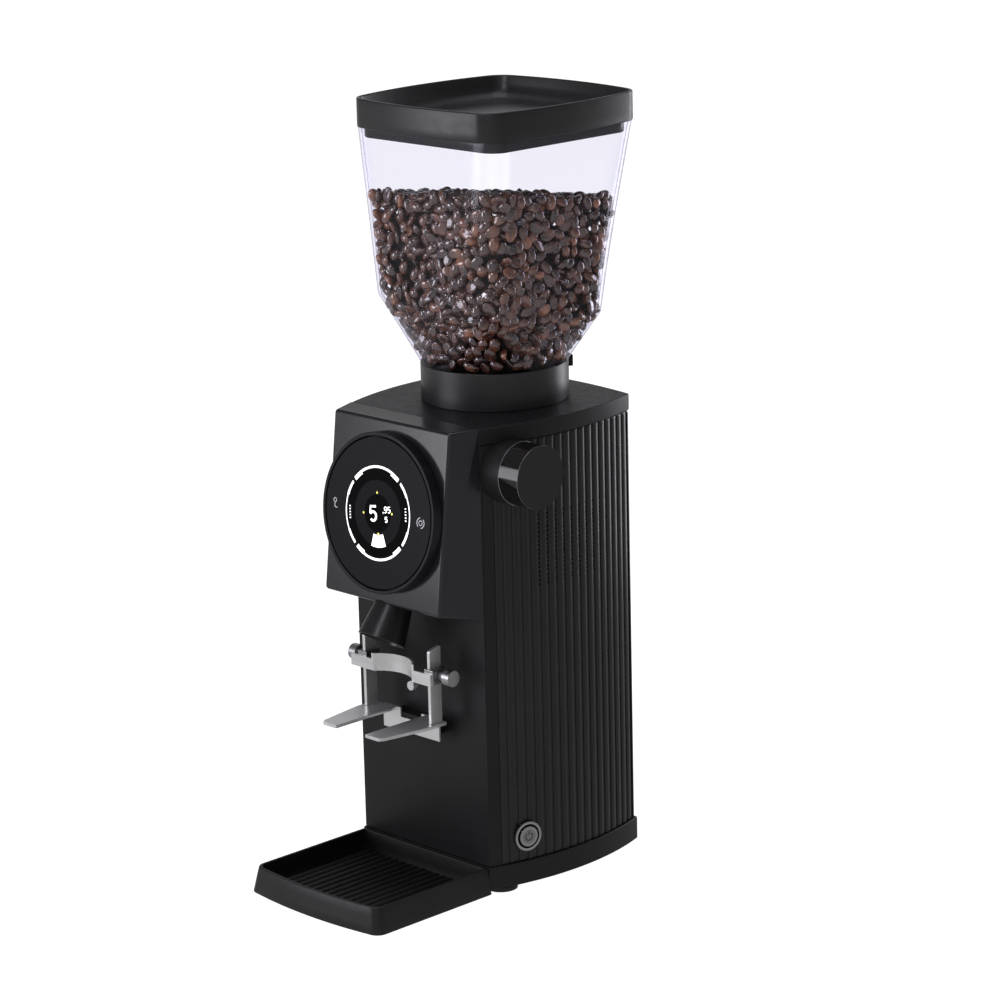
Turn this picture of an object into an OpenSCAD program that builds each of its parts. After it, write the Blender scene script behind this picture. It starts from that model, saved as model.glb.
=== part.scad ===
// Burr coffee grinder: tall ribbed body, head with a round dial, clear hopper,
// portafilter fork and catch tray. Front faces -Y, +X is the knob side, +Z is up.
// Pieces are laid out about the burr axis, then placed() moves the axis so that
// the origin is the middle of the whole outline, on the surface it stands on.

/* [Body] */
// Width of the flat front panel
front_w = 144; // [136:1:152]
// How far each side bulges beyond the front corner
side_bulge = 16; // [12:1:20]
// Distance from the burr axis to the front panel
front_y = 92; // [90:1:96]
// Distance from the burr axis to the middle of the back
rear_y = 77; // [75:1:82]
// How far the back bulges beyond the rear corners
rear_bulge = 7; // [5:1:9]
// Height of the flat top above the table
body_top = 376; // [372:1:384]
// Height of the top cover's side band
cover_h = 13.5; // [12:0.5:16]
// Height of the base's upper edge above the table
base_top = 22.5; // [20:0.5:24]
// Thickness of the ribbed side panels
rib_panel_t = 4; // [3.5:0.5:5]
// Number of ribs on each side
rib_count = 18; // [14:1:20]

/* [Head] */
// Width of the head's front face
head_w = 131; // [126:1:134]
// How far the head stands out at its top edge
head_out_top = 24; // [20:1:26]
// How far the head stands out at its bottom edge
head_out_low = 41; // [38:1:44]
// Height of the head's bottom front edge
head_low = 233; // [230:1:236]

/* [Dial] */
// Outer radius of the dial ring
dial_r = 63; // [60:0.5:63.5]
// Radius of the dial glass
dial_glass_r = 58.8; // [56:0.1:58.8]
// How far the dial stands out of the head
dial_out = 9; // [8:0.5:10]
// Radius of the round display
display_r = 36.5; // [30:0.5:38]
// Height of the dial's centre on the head face
dial_z = 305; // [302:1:308]

/* [Hopper] */
// Half width of the hopper at its rim
hopper_half = 81; // [78:1:84]
// Height of the hopper's rim
hopper_top = 592; // [580:1:600]
// Wall thickness of the hopper
hopper_wall = 3; // [2.5:0.5:4]
// Outer radius of the collar
collar_r = 58.5; // [57:0.5:60]
// Height of the collar
collar_h = 30; // [28:1:32]
// Height of the lid's band
lid_h = 23; // [20:1:26]
// Radius of the throat that the gate closes
throat_r = 26; // [22:1:27]

/* [Fork] */
// Height of the fork's top face
fork_z = 139.5; // [134:0.5:142]
// Reach of the fork arms from the burr axis
fork_reach = 169; // [160:1:175]
// Distance from the middle to each upright
upright_x = 37; // [36:0.5:39]
// Height of the top of the uprights
upright_top = 201; // [196:1:204]

/* [Tray] */
// Depth of the catch tray in front of the body
tray_depth = 123; // [110:1:130]
// Width of the catch tray at its rim
tray_w = 142; // [134:1:144]

/* [Controls] */
// Radius of the grind adjustment knob
knob_r = 24.8; // [22:0.1:25]
// Distance of the knob's outer face from the burr axis
knob_face_x = 113; // [108:1:118]
// Radius of the push button's flange
button_r = 12; // [11:0.5:13]

/* [Burrs] */
// Outer radius of the flat burrs
burr_r = 40; // [37:0.5:42]
// Gap between the burrs
burr_gap = 0.8; // [0.5:0.1:1.2]

/* [Hidden] */
$fn = 96;

eps = 0.01;
gap = 0.3;
hull_fn = 32;
big = 600;

// Body outline: three arcs and the flat front
side_max = front_w / 2 + side_bulge;
side_mid_y = -6;
side_reach = front_y + side_mid_y;
side_r = (side_reach * side_reach + side_bulge * side_bulge) / (2 * side_bulge);
rear_r = (side_max * side_max * 0.75 + rear_bulge * rear_bulge) / (2 * rear_bulge);
base_grow = 1.5;
foot_h = 4;
base_floor = 4;
strip_w = 10;
shell_t = 2.5;
panel_low = base_top + 0.2;
panel_high = body_top - cover_h - 0.3;
panel_h = panel_high - panel_low;
rear_seam_x = 69;
rear_screw_x = 60;
rear_screw_z = [40, 190, 345];
arc_fn = 240;

// Ribs
rib_pitch = 36.4 / rib_count;
rib_phase = -0.35;
groove_w = 2;
groove_d = 1.8;
vent_columns = 9;
vent_rows = 17;
vent_pitch = 3.5;
vent_r = 0.85;
vent_low = 245;
vent_first = -4 + rib_phase;

// Head and dial
head_h = body_top - head_low;
head_tilt = atan((head_out_low - head_out_top) / head_h);
head_wall = 3;
head_drop = 8;
head_corner = 3;
dial_y = head_face_y(dial_z);

// Hopper
hopper_front = -77;
hopper_rear = 83;
hopper_corner = 18;
break_half = 70;
break_front = -71.5;
break_rear = 56.5;
break_front_z = 461;
break_rear_z = 443;
collar_top = body_top + collar_h;
lid_front = -86;
lid_rear = 93;
lid_half = hopper_half + 5;
lid_corner = 20;
lid_low = hopper_top + 0.02;
lid_wall = 3;

// The lid's outline: four wide arcs, and where the small corner arcs between them are centred
lid_bow_r = 330;
lid_mid = (lid_front + lid_rear) / 2;
lid_deep = (lid_rear - lid_front) / 2;
lid_side_c = lid_half - lid_bow_r;
lid_end_c = lid_deep - lid_bow_r;
lid_span = norm([lid_side_c, lid_end_c]);
lid_reach = sqrt(pow(lid_bow_r - lid_corner, 2) - pow(lid_span / 2, 2)) / lid_span;
lid_corner_x = lid_side_c / 2 - lid_end_c * lid_reach;
lid_corner_y = lid_end_c / 2 - lid_side_c * lid_reach;
lid_side_turn = atan2(lid_corner_y, lid_corner_x - lid_side_c);
lid_end_turn = atan2(lid_corner_y - lid_end_c, lid_corner_x);
lid_steps = 10;

neck_r = 55.6;
neck_y = -3.5;
throat_flange_r = 49.6;
gate_angle = 65;
gate_z = collar_top - 8;
gate_t = 3;
gate_half = 28;
gate_tab_out = 5;
neck_low = gate_z + gate_t + 2 * gap;

// Drive train heights
motor_r = 52;
motor_low = 75;
deck_z = 236;
deck_t = 6;
shaft_r = 8;
post_r = 6;
post_x = 56;
post_y = 34;
chamber_r = 56;
chamber_low = deck_z + deck_t;
chamber_top = 332;
burr_z = 278;
burr_t = 8;
carrier_r = 46;
wheel_r = 59.2;
wheel_z = 340;
wheel_t = 12;
knob_y = -67.8;
knob_z = 340;
worm_r = 8.2;
knob_len = 21;
boss_x = front_w / 2 + gap;

// Spout
spout_mouth_r = 19.2;
spout_r = 14.5;
spout_tilt = 30;
spout_mouth = [0, -133.5, 204];
spout_cone = 32;
spout_len = 70;
spout_wall = 2;

// Power button, on the bulging side
button_z = 43;
button_y = -60;
button_turn = asin((button_y - side_mid_y) / side_r);

// Fork
fork_t = 2.6;
plate_y = -105;
upright_t = 3;
upright_front = -119;
upright_back = -107;
bar_low = 171.8;
bar_high = 181.3;
bar_front = -122;
bar_t = 1.8;
saddle_r = 30.4;
saddle_high = 186;
clamp_low = 172.5;
clamp_high = 184.5;
screw_y = -111.5;
screw_z = 179;

// Tray
tray_back = -front_y - base_grow - gap;
tray_front = -front_y - tray_depth - 2;
tray_bow_r = 420;
tray_corner = 9;
tray_flare = 4;
tray_low = 1;
tray_wall = 2.6;
tray_floor = 2;
mat_teeth = 17;

// The whole outline, to centre the origin
outline_left = -side_max - base_grow;
outline_right = knob_face_x;
outline_front = tray_front - tray_flare;
outline_back = lid_rear;
shift = [-(outline_left + outline_right) / 2, -(outline_front + outline_back) / 2, 0];

// Where the head's front face lies at height z
function arc_points(x, y, r, from, to, steps) =
    [for (i = [0 : steps - 1]) let (a = from + (to - from) * i / steps) [x + r * cos(a), y + r * sin(a)]];

function lid_quarter(inset) = concat(
    arc_points(lid_side_c, 0, lid_bow_r - inset, 0, lid_side_turn, lid_steps),
    arc_points(lid_corner_x, lid_corner_y, lid_corner - inset, lid_side_turn, lid_end_turn, lid_steps),
    arc_points(0, lid_end_c, lid_bow_r - inset, lid_end_turn, 90, lid_steps));

function lid_outline(inset) = let (q = lid_quarter(inset), n = len(q)) concat(
    q,
    [[0, lid_deep - inset]],
    [for (i = [n - 1 : -1 : 0]) [-q[i][0], q[i][1]]],
    [for (i = [1 : n - 1]) [-q[i][0], -q[i][1]]],
    [[0, inset - lid_deep]],
    [for (i = [n - 1 : -1 : 1]) [q[i][0], -q[i][1]]]);

function head_face_y(z) = -front_y - head_out_low + (z - head_low) * tan(head_tilt);

module placed() {
    translate(shift) children();
}

// A solid with the body's outline, drawn in by inset, from z = low to z = high
module body_prism(inset, low, high) {
    h = high - low;
    intersection() {
        for_side(1, inset, low, h);
        for_side(-1, inset, low, h);
        translate([0, rear_y - rear_r, low])
            cylinder(r = rear_r - inset, h = h, $fn = arc_fn * 2);
        translate([-big / 2, -front_y + inset, low]) cube([big, big, h]);
    }
}

module for_side(s, inset, low, h) {
    translate([s * (side_max - side_r), side_mid_y, low])
        cylinder(r = side_r - inset, h = h, $fn = arc_fn);
}

module body_shell(thickness, low, high) {
    difference() {
        body_prism(0, low, high);
        body_prism(thickness, low - 1, high + 1);
    }
}

// A box with rounded upright corners
module rounded_box(half, front, back, r, low, high) {
    h = high - low;
    translate([-half + r, front, low]) cube([2 * (half - r), back - front, h]);
    translate([-half, front + r, low]) cube([2 * half, back - front - 2 * r, h]);
    for (x = [-half + r, half - r], y = [front + r, back - r])
        translate([x, y, low]) cylinder(r = r, h = h);
}

// Four thin discs at the corners of a rounded rectangle, to hull between
module corner_discs(half, front, back, r, front_z, back_z) {
    for (x = [-half + r, half - r]) {
        translate([x, front + r, front_z]) cylinder(r = r, h = eps, $fn = hull_fn);
        translate([x, back - r, back_z]) cylinder(r = r, h = eps, $fn = hull_fn);
    }
}

module tube(outer, inner, low, high) {
    translate([0, 0, low]) difference() {
        cylinder(r = outer, h = high - low);
        translate([0, 0, -1]) cylinder(r = inner, h = high - low + 2);
    }
}

module at_angles(count, radius, start = 0) {
    for (i = [0 : count - 1])
        rotate([0, 0, start + i * 360 / count]) translate([radius, 0, 0]) children();
}

// Puts children on the knob axis, with their +Z pointing out along +X
module on_knob_axis() {
    translate([0, knob_y, knob_z]) rotate([0, 90, 0]) children();
}

// Puts children on the head face, with their +Z pointing out of the face
module on_head_face() {
    translate([0, dial_y, dial_z]) rotate([90 - head_tilt, 0, 0]) children();
}

// Puts children on the push button axis, with their +Z pointing out
module on_button_axis() {
    translate([side_max - side_r, side_mid_y, button_z]) rotate([0, 0, button_turn])
        translate([side_r, 0, 0]) rotate([0, 90, 0]) children();
}

// Puts children on the spout axis, with the mouth at z = 0 and +Z going up the spout
module on_spout_axis() {
    translate(spout_mouth) rotate([-spout_tilt, 0, 0]) children();
}

// Base and frame

foot_places = [[-66, -74], [66, -74], [-58, 50], [58, 50]];

module base_plate() {
    color("#1b1b1d") placed() difference() {
        body_prism(-base_grow, foot_h, base_top);
        body_prism(rib_panel_t + 1, foot_h + base_floor, base_top + 1);
        for (p = foot_places)
            translate([p[0], p[1], 0]) cylinder(r = 2.7, h = base_top);
    }
}

module rubber_feet() {
    color("#111111") placed() for (p = foot_places) translate([p[0], p[1], 0]) difference() {
        cylinder(r = 13, h = foot_h);
        translate([0, 0, -1]) cylinder(r = 5.5, h = 3.2);
        cylinder(r = 2.7, h = foot_h + 1);
    }
}

module foot_screws() {
    color("silver") placed() for (p = foot_places) translate([p[0], p[1], 0]) {
        translate([0, 0, 0.7]) cylinder(r = 4.6, h = 1.5);
        translate([0, 0, 2.2]) cylinder(r = 2.5, h = 10);
    }
}

module frame_posts() {
    color("gray") placed() for (x = [-post_x, post_x], y = [-post_y, post_y])
        translate([x, y, foot_h + base_floor]) cylinder(r = post_r, h = deck_z - foot_h - base_floor);
}

module deck_plate() {
    color("gray") placed() difference() {
        body_prism(rib_panel_t + 2, deck_z, deck_z + deck_t);
        translate([0, 0, deck_z - 1]) cylinder(r = 24, h = deck_t + 2);
    }
}

// Casing

module front_panel() {
    color("#202023") placed() difference() {
        intersection() {
            body_shell(shell_t, panel_low, panel_high);
            translate([-big / 2, -front_y - 1, 0]) cube([big, strip_w + 1, big]);
        }
        // opening behind the head
        translate([-front_w / 2 + 10, -front_y - 1, head_low + 5])
            cube([front_w - 20, shell_t + 1.2, head_h]);
        on_knob_axis() translate([0, 0, 60]) cylinder(r = 23, h = 30);
    }
}

module side_region() {
    difference() {
        translate([0, -front_y + strip_w + 0.4, 0]) cube([big, big, big]);
        translate([-1, 50, 0]) cube([rear_seam_x + 1, big, big]);
    }
}

// A ribbed panel on the +X side
module ribbed_panel() {
    difference() {
        intersection() {
            body_shell(rib_panel_t, panel_low, panel_high);
            side_region();
        }
        translate([side_max - side_r, side_mid_y, 0]) {
            for (i = [1 : rib_count])
                rotate([0, 0, (i - rib_count / 2 + rib_phase) * rib_pitch])
                    translate([side_r - groove_d, -groove_w / 2, panel_low - 1])
                        cube([10, groove_w, panel_h + 2]);
            for (i = [0 : vent_columns - 1], j = [0 : vent_rows - 1])
                rotate([0, 0, (vent_first + i) * rib_pitch])
                    translate([side_r - 10, 0, vent_low + j * vent_pitch])
                        rotate([0, 90, 0]) cylinder(r = vent_r, h = 20, $fn = 6);
        }
    }
}

module left_side_panel() {
    color("#19191b") placed() mirror([1, 0, 0]) ribbed_panel();
}

module right_side_panel() {
    color("#19191b") placed() difference() {
        ribbed_panel();
        on_button_axis() translate([0, 0, -20]) cylinder(r = 9.6, h = 40);
        on_knob_axis() translate([0, 0, 60]) cylinder(r = 20, h = 40);
    }
}

module rear_panel() {
    color("#19191b") placed() difference() {
        intersection() {
            body_shell(shell_t, panel_low, panel_high);
            translate([-rear_seam_x + gap, 50, 0]) cube([2 * (rear_seam_x - gap), 60, big]);
        }
        translate([-13.9, 40, 38]) cube([27.8, 60, 20.3]);
        for (x = [-rear_screw_x, rear_screw_x], z = rear_screw_z)
            translate([x, 60, z]) rotate([-90, 0, 0]) cylinder(r = 2.2, h = 30);
    }
}

module rear_screws() {
    head_r = 3.6;
    inner_x = rear_screw_x - head_r;
    screw_face = rear_y - rear_r + sqrt(rear_r * rear_r - inner_x * inner_x) + 0.02;
    color("silver") placed() for (x = [-rear_screw_x, rear_screw_x], z = rear_screw_z)
        translate([x, screw_face, z]) rotate([-90, 0, 0]) {
            cylinder(r = head_r, h = 1.6);
            translate([0, 0, -9]) cylinder(r = 2, h = 9 + eps);
        }
}

module top_cover() {
    color("#1d1d20") placed() difference() {
        body_prism(0, body_top - cover_h, body_top);
        body_prism(3, body_top - cover_h - 1, body_top - 3);
        translate([0, 0, body_top - 5]) cylinder(r = throat_flange_r + 0.2, h = 10);
        translate([-front_w / 2 + 6, -front_y - 1, 0]) cube([front_w - 12, 5, body_top - 3]);
    }
}

module head_solid() {
    hull() {
        translate([-front_w / 2, -front_y - eps, head_low - head_drop])
            cube([front_w, eps, head_h + head_drop]);
        for (x = [-1, 1], z = [head_low + head_corner, body_top - head_corner])
            translate([x * (head_w / 2 - head_corner),
                head_face_y(z) + head_corner / cos(head_tilt), z])
                sphere(r = head_corner, $fn = hull_fn);
    }
}

module head_housing() {
    color("#232326") placed() difference() {
        head_solid();
        head_cavity();
        on_head_face() translate([0, 0, -10]) cylinder(r = 15, h = 20);
        // where the spout comes through the underside
        on_spout_axis() cylinder(r1 = spout_mouth_r + 0.4, r2 = spout_r + 0.4, h = spout_cone);
        on_spout_axis() cylinder(r = spout_r + 0.4, h = 120);
    }
}

// The hollow inside the head, open to the body
module head_cavity() {
    cavity_w = head_w / 2 - head_wall - 1;
    hull() {
        translate([-cavity_w, -front_y, head_low - 3]) cube([2 * cavity_w, 5, head_h - 1]);
        for (z = [head_low + head_wall, body_top - head_wall - 1])
            translate([-cavity_w, head_face_y(z) + head_wall, z]) cube([2 * cavity_w, 5, 1]);
    }
}

// Dial

module dial_base() {
    color("#151517") placed() on_head_face() difference() {
        union() {
            cylinder(r = dial_r - 3 - gap, h = 5);
            translate([0, 0, -7]) cylinder(r = 14.8, h = 8);
        }
        translate([0, 0, 1.4]) cylinder(r = display_r + 0.3, h = 10);
        translate([0, 0, -8]) cylinder(r = 10, h = 12);
    }
}

module dial_ring() {
    color("#5c5c60") placed() on_head_face() {
        difference() {
            translate([0, 0, gap]) cylinder(r = dial_r, h = dial_out - gap);
            cylinder(r = dial_r - 3, h = dial_out + 1);
        }
    }
}

module dial_glass() {
    color("#08080a") placed() on_head_face()
        translate([0, 0, 5]) cylinder(r = dial_glass_r, h = dial_out - 5.4);
}

module display_module() {
    color("#0c0c10") placed() on_head_face()
        translate([0, 0, 1.4]) cylinder(r = display_r, h = 3.6);
}

module control_board() {
    color("#1f5a34") placed() on_head_face() {
        translate([-42, -8, -13]) cube([84, 62, 1.6]);
        for (x = [-34, 34], y = [-2, 48])
            translate([x, y, -11.4]) cylinder(r = 3, h = 8.2);
        translate([-20, 22, -17]) cube([22, 22, 4 + eps]);
    }
}

// Hopper

module hopper_collar() {
    color("#1a1a1c") placed() difference() {
        translate([0, neck_y, body_top]) cylinder(r = collar_r, h = collar_h);
        translate([0, 0, body_top - 1]) cylinder(r = throat_flange_r + 0.4, h = 16.5);
        translate([0, 0, body_top]) cylinder(r = throat_r, h = collar_h);
        translate([0, neck_y, gate_z - gap]) cylinder(r = neck_r + 0.2, h = collar_h);
        translate([0, neck_y, gate_z - gap]) rotate([0, 0, gate_angle]) translate([0, -gate_half - gap, 0])
            cube([80, 2 * (gate_half + gap), gate_t + 2 * gap]);
    }
}

module hopper_gate() {
    color("#111113") placed() translate([0, neck_y, gate_z]) rotate([0, 0, gate_angle]) {
        intersection() {
            cylinder(r = collar_r, h = gate_t);
            translate([-29, -gate_half, -1]) cube([100, 2 * gate_half, 10]);
        }
        difference() {
            translate([collar_r - 0.6, -7, -2.4]) cube([gate_tab_out + 0.6, 14, 9]);
            cylinder(r = collar_r + gap, h = 30, center = true);
        }
        translate([collar_r - 2, -6, 0]) cube([4, 12, gate_t]);
    }
}

module hopper_solid(inset, top, low) {
    hull() {
        corner_discs(hopper_half - inset, hopper_front + inset, hopper_rear - inset,
            hopper_corner - inset, top, top);
        corner_discs(break_half - inset, break_front + inset, break_rear - inset,
            hopper_corner - inset, break_front_z, break_rear_z);
    }
    hull() {
        corner_discs(break_half - inset, break_front + inset, break_rear - inset,
            hopper_corner - inset, break_front_z, break_rear_z);
        translate([0, neck_y, low]) cylinder(r = collar_r - 0.6 - inset, h = eps);
    }
}

module hopper_body() {
    color("#dfe6ee", 0.35) placed() difference() {
        union() {
            hopper_solid(0, hopper_top, collar_top);
            translate([0, neck_y, neck_low]) cylinder(r = neck_r, h = collar_top - neck_low + 1);
        }
        hopper_solid(hopper_wall, hopper_top + 1, collar_top + 2);
        translate([0, neck_y, gate_z]) cylinder(r = neck_r - hopper_wall, h = 20);
    }
}

// A solid with the lid's outline, drawn in by inset
module lid_prism(inset, low, high) {
    translate([0, lid_mid, low]) linear_extrude(high - low) polygon(lid_outline(inset));
}

module hopper_lid() {
    recess_low = hopper_top + 5;
    color("#161618") placed() {
        difference() {
            lid_prism(0, lid_low, hopper_top + lid_h);
            lid_prism(lid_wall, recess_low, hopper_top + lid_h + 1);
        }
        difference() {
            rounded_box(hopper_half - 5, hopper_front + 4.6, hopper_rear - 6.2, 14,
                hopper_top - 8.5, hopper_top + 1);
            rounded_box(hopper_half - 7.4, hopper_front + 7, hopper_rear - 8.6, 11.6,
                hopper_top - 10, lid_low);
        }
    }
}

module feed_throat() {
    color("#8d9094") placed() difference() {
        union() {
            translate([0, 0, body_top - 3]) cylinder(r = throat_flange_r, h = 14);
            translate([0, 0, 300]) cylinder(r = 25, h = body_top - 300);
        }
        translate([0, 0, 290]) cylinder(r = 22, h = 120);
        translate([0, 0, body_top + 4]) cylinder(r1 = 22, r2 = 29, h = 7 + eps);
    }
}

// Motor

module motor_housing() {
    color("#4a4d52") placed() difference() {
        union() {
            translate([0, 0, motor_low]) cylinder(r = motor_r, h = deck_z - motor_low - 6);
            translate([0, 0, deck_z - 6]) cylinder(r = 58, h = 6);
        }
        translate([0, 0, motor_low - 1]) cylinder(r = motor_r - 3, h = deck_z - motor_low - 13);
        cylinder(r = 17.6, h = deck_z + 10);
    }
}

module motor_end_cap() {
    color("#5a5d62") placed() difference() {
        union() {
            translate([0, 0, motor_low - 7]) cylinder(r = motor_r, h = 7);
            translate([0, 0, motor_low - 7]) cylinder(r = 21, h = 17);
        }
        cylinder(r = 16.1, h = motor_low + 20);
    }
}

module stator_core() {
    color("#707478") placed() difference() {
        translate([0, 0, 112]) cylinder(r = motor_r - 3.1, h = 78);
        translate([0, 0, 100]) cylinder(r = 30, h = 100);
    }
}

module stator_windings() {
    color("#b06a33") placed() {
        tube(46, 32, 190, 204);
        tube(46, 32, 98, 112);
    }
}

module motor_shaft() {
    color("#c4c7ca") placed() {
        translate([0, 0, 50]) cylinder(r = shaft_r, h = 212);
        translate([0, 0, 262]) cylinder(r = 6, h = 14);
    }
}

module rotor_core() {
    color("#85898d") placed() tube(29, shaft_r + 0.05, 112, 190);
}

module motor_fan() {
    color("#2c3036") placed() {
        tube(14, shaft_r + 0.05, 52, 66);
        tube(44, 41, 54, 60);
        at_angles(9, 0) translate([13, -1, 54]) cube([29, 2, 8]);
    }
}

module upper_bearing() {
    color("#d0d2d4") placed() tube(17.5, shaft_r + 0.05, deck_z - 16, deck_z - 5);
}

module lower_bearing() {
    color("#d0d2d4") placed() tube(16, shaft_r + 0.05, motor_low - 5, motor_low + 7);
}

// Burr set

module grind_chamber() {
    color("#9a9da1") placed() difference() {
        union() {
            translate([0, 0, chamber_low]) cylinder(r = chamber_r, h = chamber_top - chamber_low);
            translate([0, 0, chamber_low]) cylinder(r = 66, h = 5);
        }
        translate([0, 0, chamber_low + 7]) cylinder(r = 50, h = 100);
        translate([0, 0, chamber_low - 1]) cylinder(r = shaft_r + 1, h = 20);
        translate([-15, -80, chamber_low + 12]) cube([30, 40, 28]);
    }
}

module lower_burr_carrier() {
    color("#a9adb0") placed() difference() {
        union() {
            translate([0, 0, 252]) cylinder(r = 20, h = 10);
            translate([0, 0, 258]) cylinder(r = carrier_r, h = burr_z - burr_t - 258);
        }
        translate([0, 0, 240]) cylinder(r = shaft_r + 0.05, h = 22);
        translate([0, 0, 240]) cylinder(r = 6.05, h = 60);
        at_angles(3, 31, 60) cylinder(r = 2.1, h = 300);
    }
}

// A flat burr with slanted cutting grooves on its upper face, lying on z = 0
module burr() {
    difference() {
        cylinder(r = burr_r, h = burr_t);
        translate([0, 0, -1]) cylinder(r = burr_r - 18, h = burr_t + 2);
        at_angles(3, 31, 60) {
            translate([0, 0, -1]) cylinder(r = 2.1, h = burr_t + 2);
            translate([0, 0, burr_t - 3.4]) cylinder(r = 4.1, h = 4);
        }
        at_angles(24, 0) translate([burr_r - 12, -5, burr_t - 1.2])
            rotate([0, 0, 18]) cube([14, 1.6, 3]);
    }
}

module lower_burr() {
    color("#b9bcc0") placed() translate([0, 0, burr_z - burr_t]) burr();
}

module upper_burr() {
    color("#b9bcc0") placed() translate([0, 0, burr_z + burr_gap + burr_t])
        mirror([0, 0, 1]) burr();
}

module burr_screw() {
    cylinder(r = 2, h = 8);
    translate([0, 0, 8 - eps]) cylinder(r = 3.9, h = 2.4);
}

module lower_burr_screws() {
    color("#4b4e52") placed() translate([0, 0, burr_z - 11.3]) at_angles(3, 31, 60) burr_screw();
}

module upper_burr_screws() {
    color("#4b4e52") placed() translate([0, 0, burr_z + burr_gap + 11.3]) mirror([0, 0, 1])
        at_angles(3, 31, 60) burr_screw();
}

module upper_burr_carrier() {
    color("#a9adb0") placed() difference() {
        translate([0, 0, burr_z + burr_gap + burr_t]) cylinder(r = carrier_r, h = 62);
        translate([0, 0, 270]) cylinder(r = 26.5, h = 100);
        translate([0, 0, burr_z]) at_angles(3, 31, 60) cylinder(r = 2.1, h = 18);
    }
}

module adjust_ring() {
    tooth_count = 60;
    color("#b98d3f") placed() difference() {
        translate([0, 0, wheel_z - wheel_t / 2]) cylinder(r = wheel_r, h = wheel_t);
        translate([0, 0, 300]) cylinder(r = carrier_r + 0.05, h = 80);
        at_angles(tooth_count, wheel_r) translate([-1.6, -0.9, wheel_z - 20])
            cube([4, 1.8, 40]);
    }
}

module adjust_worm() {
    thread_pitch = 6.2;
    color("#c4c7ca") placed() on_knob_axis() {
        translate([0, 0, -24]) cylinder(r = 4, h = knob_face_x - knob_len + 24 + 12);
        difference() {
            translate([0, 0, -15]) cylinder(r = worm_r, h = 30);
            for (i = [-2 : 2]) translate([0, 0, i * thread_pitch]) difference() {
                translate([0, 0, -1.5]) cylinder(r = worm_r + 1, h = 3);
                translate([0, 0, -2]) cylinder(r = worm_r - 2, h = 4);
            }
        }
    }
}

module worm_bracket() {
    color("#7c8084") placed() difference() {
        union() {
            translate([-22, -76, body_top - 12]) cube([44, 26, 9]);
            for (x = [-22, 18]) translate([x, -76, 328]) cube([4, 16, body_top - 12 - 328]);
        }
        on_knob_axis() translate([0, 0, -40]) cylinder(r = 4.05, h = 80);
    }
}

module adjust_knob() {
    color("#0b0b0c") placed() on_knob_axis() difference() {
        translate([0, 0, knob_face_x - knob_len + gap]) cylinder(r = knob_r, h = knob_len - gap);
        translate([0, 0, 60]) cylinder(r = 4.02, h = knob_face_x - knob_len + 12.1 - 60);
    }
}

module knob_boss() {
    color("#1a1a1c") placed() difference() {
        on_knob_axis() translate([0, 0, boss_x])
            cylinder(r = knob_r, h = knob_face_x - knob_len - boss_x);
        body_prism(-0.05, 300, 372);
        on_knob_axis() cylinder(r = 4.1, h = 120);
    }
}

// Outlet

module outlet_duct() {
    color("#2a2a2d") placed() difference() {
        translate([-19, -112, chamber_low + 8]) cube([38, 55.9, 36]);
        translate([-15, -113, chamber_low + 12]) cube([30, 80, 28]);
        translate([0, 0, chamber_low]) cylinder(r = chamber_r + 0.05, h = 60);
        on_spout_axis() cylinder(r = spout_r + 0.05, h = 120);
    }
}

module spout() {
    color("#17171a") placed() on_spout_axis() difference() {
        union() {
            cylinder(r1 = spout_mouth_r, r2 = spout_r, h = spout_cone);
            cylinder(r = spout_r, h = spout_len);
        }
        translate([0, 0, -eps])
            cylinder(r1 = spout_mouth_r - spout_wall, r2 = spout_r - spout_wall, h = spout_cone + 2 * eps);
        cylinder(r = spout_r - spout_wall, h = spout_len - 2);
        // window on the duct's side
        translate([-10, 4, spout_len - 22]) cube([20, 40, 18]);
    }
}

// Push button

module power_button_bezel() {
    color("#b8bbbf") placed() on_button_axis() difference() {
        union() {
            translate([0, 0, 0.4]) cylinder(r = button_r, h = 1.8);
            translate([0, 0, -24]) cylinder(r = 9.4, h = 25);
        }
        translate([0, 0, -21]) cylinder(r = 8.3, h = 40);
    }
}

module power_button_cap() {
    color("#9fa2a6") placed() on_button_axis()
        translate([0, 0, -16]) cylinder(r = 8.2, h = 18.9);
}

module power_button_nut() {
    color("#8d9094") placed() on_button_axis() difference() {
        translate([0, 0, -rib_panel_t - 4.6]) cylinder(r = 14, h = 4, $fn = 6);
        translate([0, 0, -40]) cylinder(r = 9.45, h = 80);
    }
}

// Electrics

module power_board() {
    board_z = foot_h + base_floor + 8;
    color("#1f5a34") placed() {
        translate([-46, 16, board_z]) cube([92, 46, 1.6]);
        for (x = [-40, 40], y = [22, 56])
            translate([x, y, foot_h + base_floor]) cylinder(r = 3.5, h = 8);
        translate([-36, 24, board_z + 1.6]) cube([30, 26, 16]);
        translate([4, 28, board_z + 1.6]) cube([18, 12, 14]);
        translate([32, 34, board_z + 1.6]) cylinder(r = 7, h = 18);
    }
}

module run_capacitor() {
    color("#d8d8d4") placed() translate([-67.6, -4, foot_h + base_floor]) cylinder(r = 14.5, h = 84);
}

module mains_inlet() {
    color("#0d0d0e") placed() difference() {
        union() {
            translate([-13.8, rear_y - 22, 38.1]) cube([27.6, 23, 20.1]);
            translate([-16.5, rear_y, 35.4]) cube([33, 2, 25.5]);
        }
        translate([-11.5, rear_y - 14, 40.6]) cube([23, 20, 15]);
    }
}

// Portafilter fork

module fork_spacer() {
    color("#101012") placed()
        translate([-24, plate_y + 2, 123]) cube([48, -front_y - plate_y - 2 - 0.02, 12.5]);
}

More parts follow.
